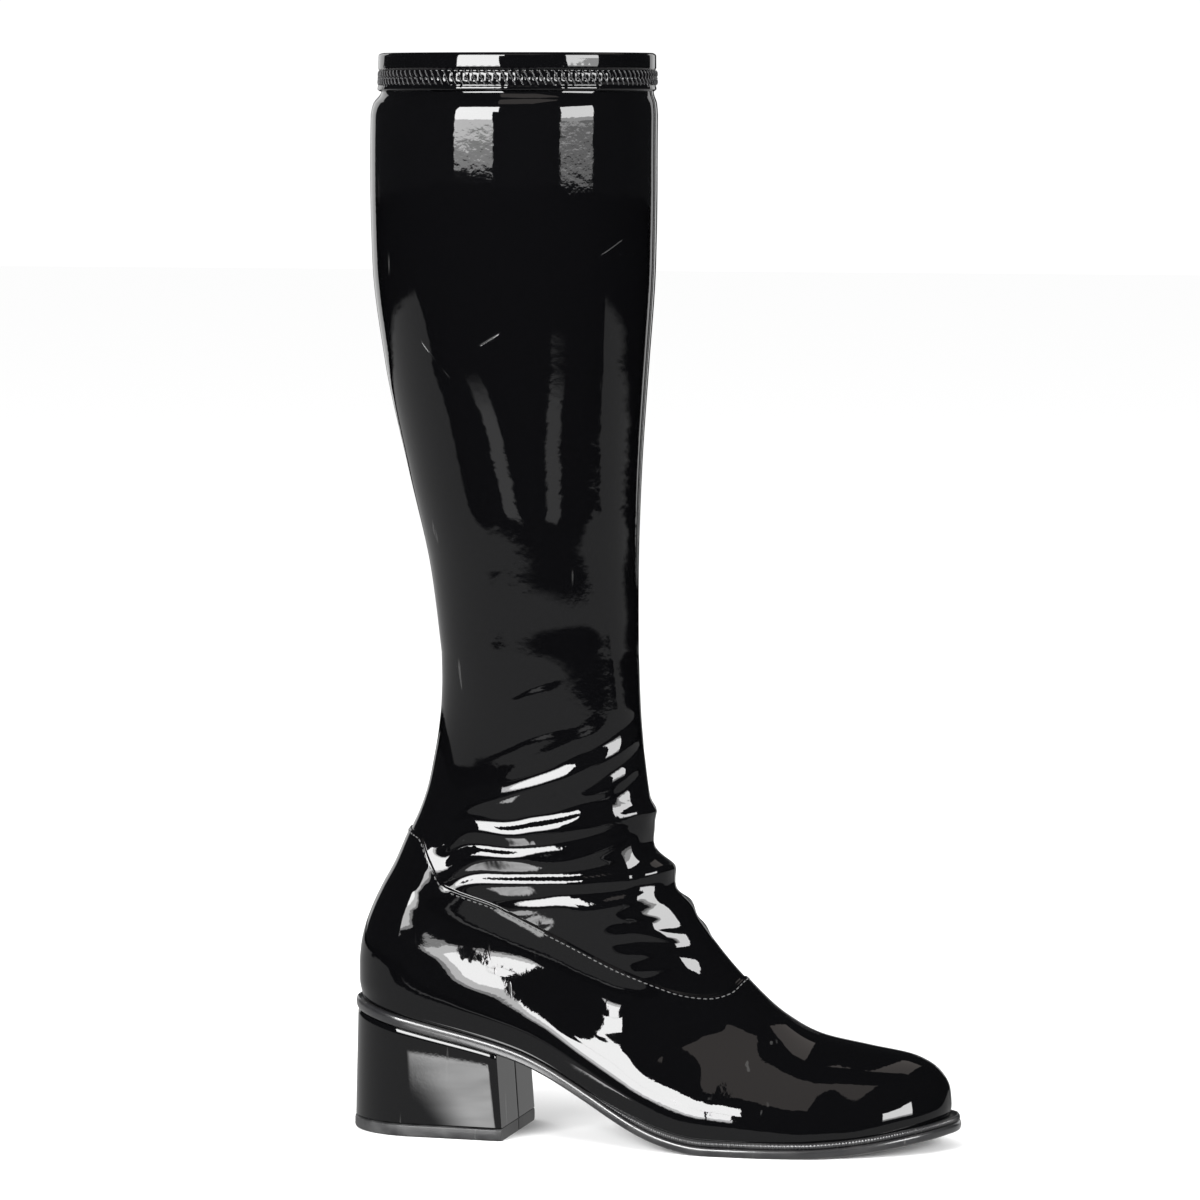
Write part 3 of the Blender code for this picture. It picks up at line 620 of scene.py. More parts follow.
def gridFaces(rows, cols, offset=0, flip=False):
    r, c = np.meshgrid(np.arange(rows - 1), np.arange(cols), indexing="ij")
    nxt = (c + 1) % cols
    quads = np.stack([r * cols + c, r * cols + nxt, (r + 1) * cols + nxt, (r + 1) * cols + c],
                     axis=-1).reshape(-1, 4) + offset
    return quads[:, ::-1] if flip else quads


def gridNormals(grid):
    round_ = np.roll(grid, -1, axis=1) - np.roll(grid, 1, axis=1)
    up = np.gradient(grid, axis=0)
    normal = np.cross(round_, up)
    return normal / np.maximum(np.linalg.norm(normal, axis=-1, keepdims=True), 1e-12)


# the upper: one skin from feather line to collar, creased at the ankle, with its lining
upperShape = {
    "columns": 300, "footRows": 150, "lowShaftRows": 22, "highShaftRows": 74,
    "lapReach": 1.2, "lapEdge": 0.03, "bandRise": 0.9414, "pullRise": 0.9216,
    "fineTop": 0.20,
    # heights between which creases lie, share of a crease that fades at each end, gain, and
    # the far side's set: shift as a share of the neck's height, its height and width
    "creaseLow": 0.050, "creaseHigh": 0.225, "creaseFade": 0.30, "creaseGain": 0.55,
    "farShift": 0.012, "farHeight": 0.85, "farWidth": 1.1,
}
# creases, listed: height in mm (ridge +, trough -), half width in mm, then places as
# shares: round the boot from the back (0) to the front (1), and of the neck's height
creases = [
    (1.1, 3.6, [(0.40, 0.748), (0.52, 0.779), (0.62, 0.807), (0.72, 0.833), (0.86, 0.862)]),
    (-2.3, 3.8, [(0.41, 0.729), (0.49, 0.754), (0.57, 0.777), (0.65, 0.800), (0.74, 0.820),
                 (0.82, 0.845), (0.93, 0.870)]),
    (2.2, 4.2, [(0.14, 0.663), (0.28, 0.686), (0.39, 0.708), (0.48, 0.727), (0.58, 0.747),
                (0.68, 0.770), (0.77, 0.794), (0.90, 0.818)]),
    (-1.0, 1.9, [(0.33, 0.682), (0.45, 0.701), (0.54, 0.721), (0.62, 0.741), (0.69, 0.767),
                 (0.77, 0.792)]),
    (-1.8, 2.5, [(0.62, 0.718), (0.71, 0.745), (0.78, 0.767), (0.87, 0.789), (0.97, 0.814)]),
    (-1.2, 2.2, [(0.78, 0.714), (0.85, 0.732), (0.93, 0.756)]),
    (-2.0, 3.2, [(0.31, 0.654), (0.41, 0.659), (0.49, 0.670), (0.57, 0.681), (0.64, 0.695),
                 (0.75, 0.712)]),
    (1.8, 3.2, [(0.14, 0.628), (0.29, 0.637), (0.41, 0.634), (0.50, 0.642), (0.59, 0.657),
                (0.69, 0.672), (0.80, 0.686)]),
    (1.4, 2.2, [(0.38, 0.614), (0.49, 0.619), (0.59, 0.634), (0.69, 0.652), (0.78, 0.669),
                (0.90, 0.678), (1.04, 0.676)]),
    (-1.8, 2.6, [(0.15, 0.606), (0.27, 0.606), (0.37, 0.605), (0.46, 0.610), (0.56, 0.619),
                 (0.65, 0.629), (0.74, 0.645)]),
    (1.3, 2.0, [(0.16, 0.581), (0.28, 0.588), (0.41, 0.592), (0.50, 0.601), (0.62, 0.617),
                (0.72, 0.637), (0.81, 0.650), (0.96, 0.658)]),
    (1.1, 2.0, [(0.16, 0.568), (0.30, 0.574), (0.42, 0.578), (0.53, 0.576), (0.61, 0.590),
                (0.67, 0.606), (0.76, 0.625), (0.84, 0.643)]),
    (-1.9, 2.6, [(0.19, 0.547), (0.29, 0.546), (0.38, 0.551), (0.47, 0.555), (0.56, 0.557),
                 (0.66, 0.566), (0.76, 0.578)]),
    (1.8, 2.6, [(0.22, 0.527), (0.35, 0.533), (0.47, 0.536), (0.58, 0.536), (0.69, 0.544),
                (0.82, 0.552), (0.93, 0.558), (1.05, 0.559)]),
    (-1.6, 2.4, [(0.35, 0.500), (0.45, 0.503), (0.54, 0.516), (0.67, 0.520), (0.82, 0.528)]),
    (1.3, 2.1, [(0.32, 0.486), (0.42, 0.481), (0.53, 0.487), (0.63, 0.493), (0.73, 0.508),
                (0.82, 0.521), (0.96, 0.546)]),
    (1.0, 2.0, [(0.37, 0.466), (0.44, 0.464), (0.53, 0.471), (0.62, 0.483), (0.72, 0.498),
                (0.82, 0.509)]),
    (1.0, 2.8, [(0.41, 0.446), (0.52, 0.455), (0.64, 0.472), (0.77, 0.490), (0.86, 0.511)]),
    (0.7, 1.8, [(0.66, 0.463), (0.75, 0.469), (0.84, 0.476)]),
    (1.0, 2.6, [(0.62, 0.435), (0.74, 0.435), (0.87, 0.429)]),
    (-0.8, 2.4, [(0.63, 0.415), (0.75, 0.415), (0.86, 0.411)]),
    (0.9, 2.2, [(0.64, 0.397), (0.75, 0.396), (0.86, 0.391)]),
    (0.9, 2.2, [(0.67, 0.362), (0.77, 0.371), (0.86, 0.379)]),
    (-0.5, 1.7, [(0.35, 0.793), (0.43, 0.816), (0.49, 0.833), (0.58, 0.852), (0.68, 0.866)]),
    (-0.4, 1.6, [(0.43, 0.915), (0.52, 0.940), (0.62, 0.962)]),
]
# the folds that stand out at the front of the ankle
frontFolds = [
    (1.6, 3.6, [(0.78, 0.668), (0.90, 0.678), (1.00, 0.679), (1.10, 0.676), (1.22, 0.662)]),
    (-2.4, 5.0, [(0.84, 0.606), (0.93, 0.612), (1.00, 0.612), (1.08, 0.610), (1.18, 0.600)]),
    (2.6, 4.2, [(0.80, 0.552), (0.91, 0.560), (1.00, 0.562), (1.10, 0.558), (1.22, 0.548)]),
    (-1.2, 3.5, [(0.88, 0.512), (0.96, 0.520), (1.04, 0.520), (1.14, 0.512)]),
    (1.6, 3.0, [(0.98, 0.470), (1.06, 0.490), (1.16, 0.492), (1.28, 0.480)]),
    (1.2, 2.6, [(1.02, 0.430), (1.10, 0.445), (1.22, 0.448)]),
]


def upperRows():
    # ring steps of even length along the wall, doubled where the lap seam steps down
    trial = np.linspace(0, len(footEnds) - 1, 301)
    angle = np.linspace(0, 2 * math.pi, 24, endpoint=False)
    rings = footSurface(trial[:, None], angle[None, :])
    run = np.linalg.norm(np.diff(rings, axis=0), axis=2).mean(axis=1)
    run = np.concatenate([[0], np.cumsum(run)])
    steps = np.interp(np.linspace(0, run[-1], upperShape["footRows"]), run, trial)
    edge = upperShape["lapEdge"]
    steps = steps[np.abs(steps - lapRow) > 2.5 * edge]
    steps = np.sort(np.concatenate([steps, lapRow + edge * np.array([-1, 0, 0.5, 1])]))
    fine = upperShape["fineTop"]
    rises = [*np.linspace(0, fine, upperShape["lowShaftRows"])[1:],
             *np.linspace(fine, upperShape["pullRise"], upperShape["highShaftRows"])[1:],
             *np.linspace(upperShape["pullRise"], upperShape["bandRise"], 6)[1:],
             *np.linspace(upperShape["bandRise"], 1.0, 5)[1:]]
    return steps, np.array(rises)


def crestPath(grid, places, samples=70):
    # walks the places of a crease on the skin, and gives points and shares from 0 to 1
    columns = grid.shape[1]
    spots = []
    for share, rise in places:
        col = share / 2 * columns
        line = grid[:, int(round(col)) % columns, 2]
        row = np.interp(rise * boot["neckHeight"], line, np.arange(len(line)))
        spots.append((col, row))
    spots = np.array(spots)
    t = np.linspace(0, len(spots) - 1, samples)
    knots = np.arange(len(spots))
    col = easeRows(t, knots, spots[:, 0])
    row = easeRows(t, knots, spots[:, 1])
    r0 = np.floor(row).astype(int)
    c0 = np.floor(col).astype(int)
    fr, fc = (row - r0)[:, None], (col - c0)[:, None]
    near, far = c0 % columns, (c0 + 1) % columns
    low = grid[r0, near] * (1 - fc) + grid[r0, far] * fc
    high = grid[r0 + 1, near] * (1 - fc) + grid[r0 + 1, far] * fc
    return low * (1 - fr) + high * fr, t / t[-1]


def creaseLift(grid):
    lift = np.zeros(grid.shape[:2])
    zone = ((grid[..., 2] > upperShape["creaseLow"])
            & (grid[..., 2] < upperShape["creaseHigh"]))
    points = grid[zone].astype(np.float32)
    total = np.zeros(len(points))
    soft = upperShape["creaseGain"]
    jobs = [(h, w, places, soft) for h, w, places in creases]
    jobs += [(h, w, places, 1.0) for h, w, places in frontFolds]
    # the far side has its own set: the same slack, a little higher and flatter
    for i, (h, w, places) in enumerate(creases):
        shift = upperShape["farShift"] * math.sin(2.3 * i + 0.7)
        mirrored = [(2 - share, rise + shift) for share, rise in places]
        jobs.append((upperShape["farHeight"] * h, w * upperShape["farWidth"], mirrored, soft))
    for height, width, places, gain in jobs:
        path, share = crestPath(grid, places)
        end = upperShape["creaseFade"]
        fade = np.sqrt(softStep(share / end) * softStep((1 - share) / end))
        spread = width / 1000 * (0.75 + 0.35 * fade)
        low, high = path.min(axis=0) - 0.012, path.max(axis=0) + 0.012
        close = np.all((points > low) & (points < high), axis=1)
        if not close.any():
            continue
        best = np.zeros(len(points))
        gap = np.linalg.norm(points[close][:, None, :] - path[None].astype(np.float32), axis=2)
        bell = fade[None] * np.exp(-(gap / spread[None]) ** 2)
        best[close] = bell.max(axis=1)
        total += gain * height / 1000 * best
    lift[zone] = total
    return lift


# swell and hollow of the side wall under the ankle: height above the sole, lift in mm
sideRows = [(0.0, 0.66), (0.008, 0.60), (0.016, 0.32), (0.026, -0.30), (0.036, -0.85),
            (0.048, -0.60), (0.064, -0.12), (0.080, 0.0)]
# its start at the back and run there, its end at the front and run there
sideReach = (-0.112, 0.022, 0.020, 0.045)
# the leg draws in a little more under its narrowest ring: height above the floor, lift in mm
# (the two tables meet in a corner that evens out the model's own corner there)
underNeck = [(0.106, 0.0), (0.124, -0.85), (0.148, -2.20), (0.170, -1.85), (0.190, -0.90),
             (0.206, 0.0)]
overNeck = [(0.206, 0.0), (0.222, -0.48), (0.240, -0.50), (0.265, 0.0)]
# soft lumps of the outer wall: lift in mm, then x, z, half length and half height in mm
sideLumps = [(0.60, -54, 69, 17, 7.5), (0.35, -93, 101, 10, 6), (-0.15, -20, 50, 9, 6),
             (0.18, -2, 44, 10, 6)]


def sideForm(grid):
    x, y, z = grid[..., 0], grid[..., 1], grid[..., 2]
    angle = np.arange(grid.shape[1]) * 2 * math.pi / grid.shape[1]
    back, backRun, front, frontRun = sideReach
    lift = tableAt(sideRows, z - feather(x))
    lift = lift * softStep((x - back) / backRun) * softStep((front - x) / frontRun)
    for height, middle, level, halfLong, halfHigh in sideLumps:
        bell = np.exp(-((x * 1000 - middle) / halfLong) ** 2
                      - ((z * 1000 - level) / halfHigh) ** 2)
        lift = lift + height * bell * (y < 0)
    neck = boot["neckHeight"]
    for rows, there in ((underNeck, z < neck), (overNeck, z >= neck)):
        lift = lift + there * tableAt(rows, z)
    return lift / 1000 * np.abs(np.sin(angle))[None]


def rippleAmount(grid):
    # where the skin's low wrinkles show most: place round, height share, reach in mm, amount
    spots = [(0.72, 2.02, 20, 1.7), (0.48, 1.0, 22, 0.5), (0.62, 0.78, 26, 0.5),
             (0.40, 0.42, 20, 0.25), (0.52, 0.30, 18, 0.1), (0.62, 0.18, 18, 0.1)]
    amount = np.zeros(grid.shape[:2])
    for share, rise, reach, gain in spots:
        path, _ = crestPath(grid, [(share, rise), (share + 0.02, rise)], 2)
        away = np.linalg.norm(grid - path[0], axis=2)
        amount += gain * np.exp(-(away / (reach / 1000)) ** 2)
    return amount


def makeUpper():
    steps, rises = upperRows()
    angle = np.arange(upperShape["columns"]) * 2 * math.pi / upperShape["columns"]
    foot = footSurface(steps[:, None], angle[None, :])
    shaft = shaftSurface(rises[:, None], angle[None, :])
    base = np.concatenate([foot, shaft])
    normal = gridNormals(base)
    lapAt = int(np.argmin(np.abs(steps - lapRow)))
    raise_ = softStep((steps - lapRow + upperShape["lapReach"]) / upperShape["lapReach"])
    raise_ = np.where(steps > lapRow + 1e-6,
                      np.clip(1 - (steps - lapRow) / upperShape["lapEdge"], 0, 1), raise_)
    lift = np.zeros(base.shape[:2])
    lift[:len(steps)] += boot["lapStep"] * raise_[:, None]
    crease = creaseLift(base) + sideForm(base)
    skin = base + normal * (lift + crease)[..., None]
    rows, cols = skin.shape[:2]
    # lining on every second ring and column, then both rims
    pickRows = np.unique(np.concatenate([np.arange(0, rows - 1, 2), [rows - 1]]))
    inner = (base + normal * (crease - boot["wall"])[..., None])[pickRows][:, ::2]
    verts = np.concatenate([skin.reshape(-1, 3), inner.reshape(-1, 3)])
    outerFaces = gridFaces(rows, cols)
    innerFaces = gridFaces(len(pickRows), cols // 2, rows * cols, flip=True)
    rims = []
    for outRow, inRow, flip in ((0, 0, True), (rows - 1, len(pickRows) - 1, False)):
        for j in range(cols // 2):
            a = outRow * cols + 2 * j
            b = outRow * cols + (2 * j + 2) % cols
            c = rows * cols + inRow * (cols // 2) + (j + 1) % (cols // 2)
            d = rows * cols + inRow * (cols // 2) + j
            rim = (a, a + 1, b, c, d)
            rims.append(rim[::-1] if flip else rim)
    faces = [*outerFaces.tolist(), *innerFaces.tolist(), *rims]
    piece = makePiece("upperSkin", verts, faces, [patent, lining])
    slots = np.zeros(len(piece.data.polygons), np.int32)
    slots[len(outerFaces):len(outerFaces) + len(innerFaces)] = 1
    piece.data.polygons.foreach_set("material_index", slots)
    # distances to the seams, for the grooves in the material
    round_ = np.linalg.norm(np.roll(base, -1, axis=1) - base, axis=2)
    ahead = np.cumsum(round_, axis=1) - round_
    front = np.abs(ahead - ahead[:, cols // 2][:, None])
    back = np.minimum(ahead, ahead[:, -1:] + round_[:, -1:] - ahead)
    far = np.full(len(verts) - rows * cols, 1.0)
    addValues(piece, "seamFront", np.concatenate([front.ravel(), far]))
    addValues(piece, "seamBack", np.concatenate([back.ravel(), far]))
    addValues(piece, "ripple", np.concatenate([rippleAmount(base).ravel(), 0 * far]))
    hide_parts("upper")
    return skin, gridNormals(skin), steps, lapAt


skin, skinNormal, skinSteps, lapAt = makeUpper()
print("upper made:", skin.shape)


def tubeAlong(points, radius, sides, normals):
    # short thread through the points, closed at both ends
    points = np.asarray(points)
    run = np.gradient(points, axis=0)
    run /= np.linalg.norm(run, axis=1, keepdims=True)
    up = np.asarray(normals)
    across = np.cross(run, up)
    across /= np.linalg.norm(across, axis=1, keepdims=True)
    up = np.cross(across, run)
    turn = np.arange(sides) * 2 * math.pi / sides
    ring = (across[:, None] * np.cos(turn)[None, :, None]
            + up[:, None] * np.sin(turn)[None, :, None]) * np.asarray(radius)[:, None, None]
    verts = (points[:, None] + ring).reshape(-1, 3)
    faces = gridFaces(len(points), sides).tolist()
    faces += [list(range(sides))[::-1], list(range(len(verts) - sides, len(verts)))]
    return verts, faces


def joinParts(parts):
    verts, faces, offset = [], [], 0
    for v, f in parts:
        verts.append(v)
        faces += [[i + offset for i in face] for face in f]
        offset += len(v)
    return np.concatenate(verts), faces


def evenRun(path, normals, pitch):
    # the closed path, its normals, the run along it and how many stitches it holds
    run = np.linalg.norm(np.diff(path, axis=0, append=path[:1]), axis=1)
    at = np.concatenate([[0], np.cumsum(run)])
    loop = np.concatenate([path, path[:1]])
    loopNormals = np.concatenate([normals, normals[:1]])
    count = int(at[-1] / pitch)
    return at, loop, loopNormals, count


def pointAt(at, loop, s):
    s = s % at[-1]
    return np.array([np.interp(s, at, loop[:, k]) for k in range(3)])


# lap seam: one row of stitches along the foot's edge
lapThread = {"pitch": 0.0026, "length": 0.0019, "radius": 0.00026, "inside": 0.0013}


def makeLapStitches():
    run = np.linalg.norm(skin[lapAt] - skin[lapAt - 3], axis=1, keepdims=True)
    path = skin[lapAt] + (skin[lapAt - 3] - skin[lapAt]) / run * lapThread["inside"]
    at, loop, normals, count = evenRun(path, skinNormal[lapAt - 3], lapThread["pitch"])
    parts = []
    for i in range(count):
        middle = (i + 0.5) * at[-1] / count
        s = middle + lapThread["length"] * np.linspace(-0.5, 0.5, 5)
        points = np.array([pointAt(at, loop, v) for v in s])
        facing = np.array([pointAt(at, normals, v) for v in s])
        rise = np.array([-0.9, 0.25, 0.5, 0.25, -0.9]) * lapThread["radius"]
        radius = lapThread["radius"] * np.array([0.6, 1.0, 1.0, 1.0, 0.6])
        parts.append(tubeAlong(points + facing * rise[:, None], radius, 5, facing))
    verts, faces = joinParts(parts)
    return makePiece("lapStitches", verts, faces, [seamThread])


makeLapStitches()
print("lap seam stitched")


# the folded band at the collar, with its cover stitch
band = {
    "depth": 0.0148, "turn": 0.0100, "thick": 0.0011, "stitches": 116, "perStitch": 8,
    "rowHigh": 0.0062, "rowMid": 0.0092, "rowLow": 0.0122, "sink": 0.00035,
    "thread": 0.00030, "hole": 0.00055, "holeDepth": 0.00050, "holeShift": 0.0002,
    "outsideRows": 34, "sinkReach": 0.0007, "edgeIn": 0.0002, "edgeRun": 0.0008,
    "pucker": 0.00010, "puckerReach": 0.003, "meanRadius": 0.054,
    # slow waves of the edge: times round, start in radians, height
    "waves": ((5, 1.0, 0.00018), (11, 0.0, 0.00012)),
}


def bandSection():
    # (out from the skin, drop below the fold), outside first, then over and down inside
    over = boot["gap"] + band["thick"]
    inside = -(boot["wall"] + over)
    middle = (over + inside) / 2
    half = (over - inside) / 2
    rows = []
    for drop in np.linspace(band["depth"], 0.0012, band["outsideRows"]):
        sink = 0.0
        for row in (band["rowHigh"], band["rowLow"]):
            sink += band["sink"] * math.exp(-((drop - row) / band["sinkReach"]) ** 2)
        edge = float(softStep((band["depth"] - drop) / band["edgeRun"]))
        thick = band["edgeIn"] + (band["thick"] - band["edgeIn"]) * edge
        rows.append((boot["gap"] + thick - sink, drop))
    for turn in np.linspace(0, math.pi, 11):
        rows.append((middle + half * math.cos(turn), 0.0 - over * 0.9 * math.sin(turn)))
    for drop in np.linspace(0.0015, band["turn"], 6):
        rows.append((inside, drop))
    rows.append((-boot["wall"] - boot["gap"], band["turn"]))
    rows.append((-boot["wall"] - boot["gap"], 0.0005))
    rows.append((boot["gap"], 0.0005))
    rows.append((boot["gap"], band["depth"]))
    return rows


def collarPoint(out, drop, angle):
    low = shaftSurface(np.array(upperShape["bandRise"]), angle, out)
    high = shaftSurface(np.array(1.0), angle, out)
    place = high + (low - high) * max(drop, 0) / band["depth"]
    place[..., 2] = boot["collarHeight"] - drop
    return place


def makeBand():
    count = band["stitches"] * band["perStitch"]
    angle = np.arange(count) * 2 * math.pi / count
    phase = angle * band["stitches"]
    wave = sum(high * np.sin(times * angle + begin) for times, begin, high in band["waves"])
    pitch = 2 * math.pi * band["meanRadius"] / band["stitches"]
    rings = []
    for out, drop in bandSection():
        if out < 0:
            rings.append(collarPoint(out, drop, angle))
            continue
        fade = math.exp(-((drop - band["rowMid"]) / band["puckerReach"]) ** 2)
        pucker = band["pucker"] * np.cos(phase) * fade
        # needle holes, in two rows half a stitch apart
        for row, shift in ((band["rowHigh"], 0.0), (band["rowMid"] + band["holeShift"], 0.5)):
            off = (phase / (2 * math.pi) - shift + 0.5) % 1 - 0.5
            away = ((off * pitch) ** 2 + (drop - row) ** 2) / band["hole"] ** 2
            pucker = pucker - band["holeDepth"] * np.exp(-away)
        rings.append(collarPoint(out + pucker + wave, drop, angle))
    grid = np.array(rings)
    faces = gridFaces(len(grid), count).tolist()
    last = (len(grid) - 1) * count
    faces += [[last + i, last + (i + 1) % count, (i + 1) % count, i] for i in range(count)]
    piece = makePiece("topBand", grid.reshape(-1, 3), faces, [bandPatent])
    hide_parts("top_band")


def bandStroke(angle0, drop0, angle1, drop1, radius):
    t = np.linspace(0, 1, 5)
    angle = angle0 + (angle1 - angle0) * t
    drop = drop0 + (drop1 - drop0) * t
    over = boot["gap"] + band["thick"]
    rise = np.array([-0.00015, 0.00016, 0.00024, 0.00016, -0.00015])
    points = np.array([collarPoint(over - 0.00012 + rise[k], drop[k], np.array(angle[k]))
                       for k in range(5)])
    facing = np.stack([-np.cos(angle), -np.sin(angle), 0 * angle], axis=1)
    return tubeAlong(points, radius * np.array([0.7, 1, 1.05, 1, 0.7]), 5, facing)


def makeCoverStitch():
    parts = []
    step = 2 * math.pi / band["stitches"]
    for i in range(band["stitches"]):
        a = i * step
        parts.append(bandStroke(a, band["rowHigh"], a + 0.5 * step, band["rowMid"] - 0.0002,
                                band["thread"]))
        parts.append(bandStroke(a + 0.5 * step, band["rowMid"] + 0.0002, a + step,
                                band["rowLow"], band["thread"]))
        parts.append(bandStroke(a + 0.06 * step, band["rowMid"] - 0.0001, a + 0.44 * step,
                                band["rowMid"] + 0.0004, band["thread"] * 0.9))
    verts, faces = joinParts(parts)
    makePiece("coverStitch", verts, faces, [blackThread])


makeBand()
makeCoverStitch()
print("top band made")


# the sole: loops from the flat underside round the edge to the top
def soleLoop(inset, share, count=220):
    turn = (np.arange(count) + 0.5) * math.pi / count
    a = (1 - np.cos(turn)) / 2
    x = soleBack + inset + (soleTip - soleBack - 2 * inset) * a
    z = soleUnder(x) + share * (soleTop(x) - soleUnder(x))
    centre = centreY(x)
    outer = np.stack([x, centre - soleHalf(x, -1.0, inset), z], axis=1)
    inner = np.stack([x, centre + soleHalf(x, 1.0, inset), z], axis=1)[::-1]
    return np.concatenate([outer, inner])


def capStrips(loop, offset, flip):
    # quads from side to side across a loop, which runs along one side and back
    n = len(loop)
    faces = []
    for i in range(n // 2 - 1):
        quad = [offset + i, offset + i + 1, offset + n - 2 - i, offset + n - 1 - i]
        faces.append(quad[::-1] if flip else quad)
    return faces


def stackLoops(name, loops, materials, node):
    count = len(loops[0])
    verts = np.concatenate(loops)
    faces = gridFaces(len(loops), count).tolist()
    faces += capStrips(loops[0], 0, True)
    faces += capStrips(loops[-1], (len(loops) - 1) * count, False)
    piece = makePiece(name, verts, faces, materials)
    piece.data.set_sharp_from_angle(angle=math.radians(50))
    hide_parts(node)
    return piece


soleEdge = [(0.0030, 0.0), (0.0012, 0.0), (0.0005, 0.08), (0.00015, 0.22), (0.0, 0.42),
            (0.0, 0.60), (0.0001, 0.78), (0.0004, 0.92), (0.0010, 1.0), (0.0030, 1.0)]
stackLoops("soleBody", [soleLoop(inset, share) for inset, share in soleEdge],
           [soleMaterial], "outsole")
print("sole made")


# ribbed welt from waist to waist round the toe
welt = {"start": 0.42, "setback": 0.0005, "pitch": 0.00135, "depth": 0.00035, "perRib": 5,
        "toeRun": 0.025, "taperSteps": 60, "taperIn": 0.0008}


def makeWelt():
    start = backX + welt["start"] * boot["length"]
    turn = math.acos(1 - 2 * (start - soleBack) / (soleTip - soleBack))
    run = 2 * (soleTip - start) + welt["toeRun"]
    ribs = int(run / welt["pitch"])
    count = ribs * welt["perRib"] + 1
    angle = turn + (2 * math.pi - 2 * turn) * np.arange(count) / (count - 1)
    side = np.where(angle <= math.pi, -1.0, 1.0)
    a = (1 - np.cos(angle)) / 2
    rib = 0.5 - 0.5 * np.cos(2 * math.pi * np.arange(count) / welt["perRib"])
    ends = np.minimum(np.arange(count), count - 1 - np.arange(count))
    taper = np.clip(ends / welt["taperSteps"], 0, 1)
    rows = []
    for notch, rise, ribbed in ((0.0002, 0.0, 0.6), (0.0, 0.0007, 1.0), (0.0001, 0.0014, 1.0),
                                (0.0006, 0.0021, 0.9), (0.0013, 0.0023, 0.5)):
        inset = (welt["setback"] + notch + welt["depth"] * ribbed * rib
                 + welt["taperIn"] * (1 - taper))
        x = soleBack + inset + a * (soleTip - soleBack - 2 * inset)
        y = centreY(x) + side * soleHalf(x, side, inset)
        rows.append(np.stack([x, y, soleTop(x) + boot["gap"] + rise * taper], axis=1))
    for rise in (0.0021, 0.0):
        footTip = float(np.interp(feather(backX + featherFront) + rise,
                                  frontLine[:nose + 1, 1], frontLine[:nose + 1, 0]))
        x = backX + a * (footTip - backX)
        z = soleTop(x) + boot["gap"] + rise * taper
        y = centreY(x) + side * (lastHalf(x, z, side) - 0.0002)
        rows.append(np.stack([x, y, z], axis=1))
    grid = np.array(rows).transpose(1, 0, 2)
    across = grid.shape[1]
    faces = gridFaces(len(grid), across).tolist()
    faces += [list(range(across))[::-1], list(range(across * (count - 1), across * count))]
    piece = makePiece("ribbedWelt", grid.reshape(-1, 3), faces, [weltMaterial])
    bm = bmesh.new()
    bm.from_mesh(piece.data)
    bmesh.ops.recalc_face_normals(bm, faces=bm.faces[:])
    bm.to_mesh(piece.data)
    bm.free()
    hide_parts("welt")


makeWelt()
print("welt made")


# covered block heel with its top piece
heelShape = {
    "around": 90, "breastOut": 0.0005, "joinDepth": 0.0005, "joinHalf": 0.00035,
    "cornerRun": 0.0015, "cornerIn": 0.0004, "footIn": 0.0006, "liftShow": 0.0004,
    # inset at a share of the block's height, and at a height of the top piece
    "cover": ((0.012, 0.0), (0.06, 0.0), (0.25, 0.0), (0.5, 0.0), (0.75, 0.0), (0.94, 0.0),
              (0.985, 0.0001), (1.0, 0.0005)),
    "lift": ((0.0012, 0.0), (0.0004, 0.0004), (0.0, 0.0012), (0.0, 0.0040),
             (0.0002, 0.0048), (0.0008, 0.0052)),
}


def heelLoop(inset, share, top, low):
    # D-shaped loop at a share of the way from the heel's foot to its top
    flare = boot["heelFlare"] * (1 - share)
    rake = boot["breastRake"] * (1 - share)
    back = soleBack + inset - flare
    front = breastX + rake
    count = heelShape["around"]
    a = np.arange(count + 1) / count
    x = back + (front - back) * (1 - np.cos(math.pi / 2 * a))
    seat = soleBack + (x - back) / (front - back) * (breastX - soleBack)
    halves = {}
    for side in (-1.0, 1.0):
        half = soleHalf(seat, side) * (1 - inset / planHalf(along(seat), side))
        halves[side] = half - np.interp(x, [front - heelShape["cornerRun"], front],
                                        [0, heelShape["cornerIn"]])
    outer = np.stack([x, -halves[-1.0]], axis=1)[1:]
    inner = np.stack([x, halves[1.0]], axis=1)[1:][::-1]
    widest, widestIn = halves[-1.0][-1], halves[1.0][-1]
    acrossY = np.concatenate([np.linspace(-widest + 0.0006, -0.0014, 8),
                              [-0.0007, -0.0003, 0.0, 0.0003, 0.0007],
                              np.linspace(0.0014, widestIn - 0.0006, 8)])
    groove = heelShape["joinDepth"] * np.exp(-(acrossY / heelShape["joinHalf"]) ** 2)
    breast = np.stack([front + heelShape["breastOut"] - groove, acrossY], axis=1)
    flat = np.concatenate([[[back, 0.0]], outer, breast, inner])
    z = low + share * (top(flat[:, 0]) - low) if callable(top) else np.full(len(flat), top)
    return np.column_stack([flat, z])


def stackHeel(name, loops, material, node):
    count = len(loops[0])
    verts = [np.concatenate(loops)]
    faces = gridFaces(len(loops), count).tolist()
    total = len(verts[0])
    for k, flip in ((0, True), (len(loops) - 1, False)):
        centre = loops[k].mean(axis=0)
        verts.append(centre[None])
        for i in range(count):
            face = [k * count + i, k * count + (i + 1) % count, total]
            faces.append(face[::-1] if flip else face)
        total += 1
    piece = makePiece(name, np.concatenate(verts), faces, [material])
    piece.data.set_sharp_from_angle(angle=math.radians(38))
    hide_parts(node)


def blockTop(x):
    return soleUnder(x) - boot["gap"]


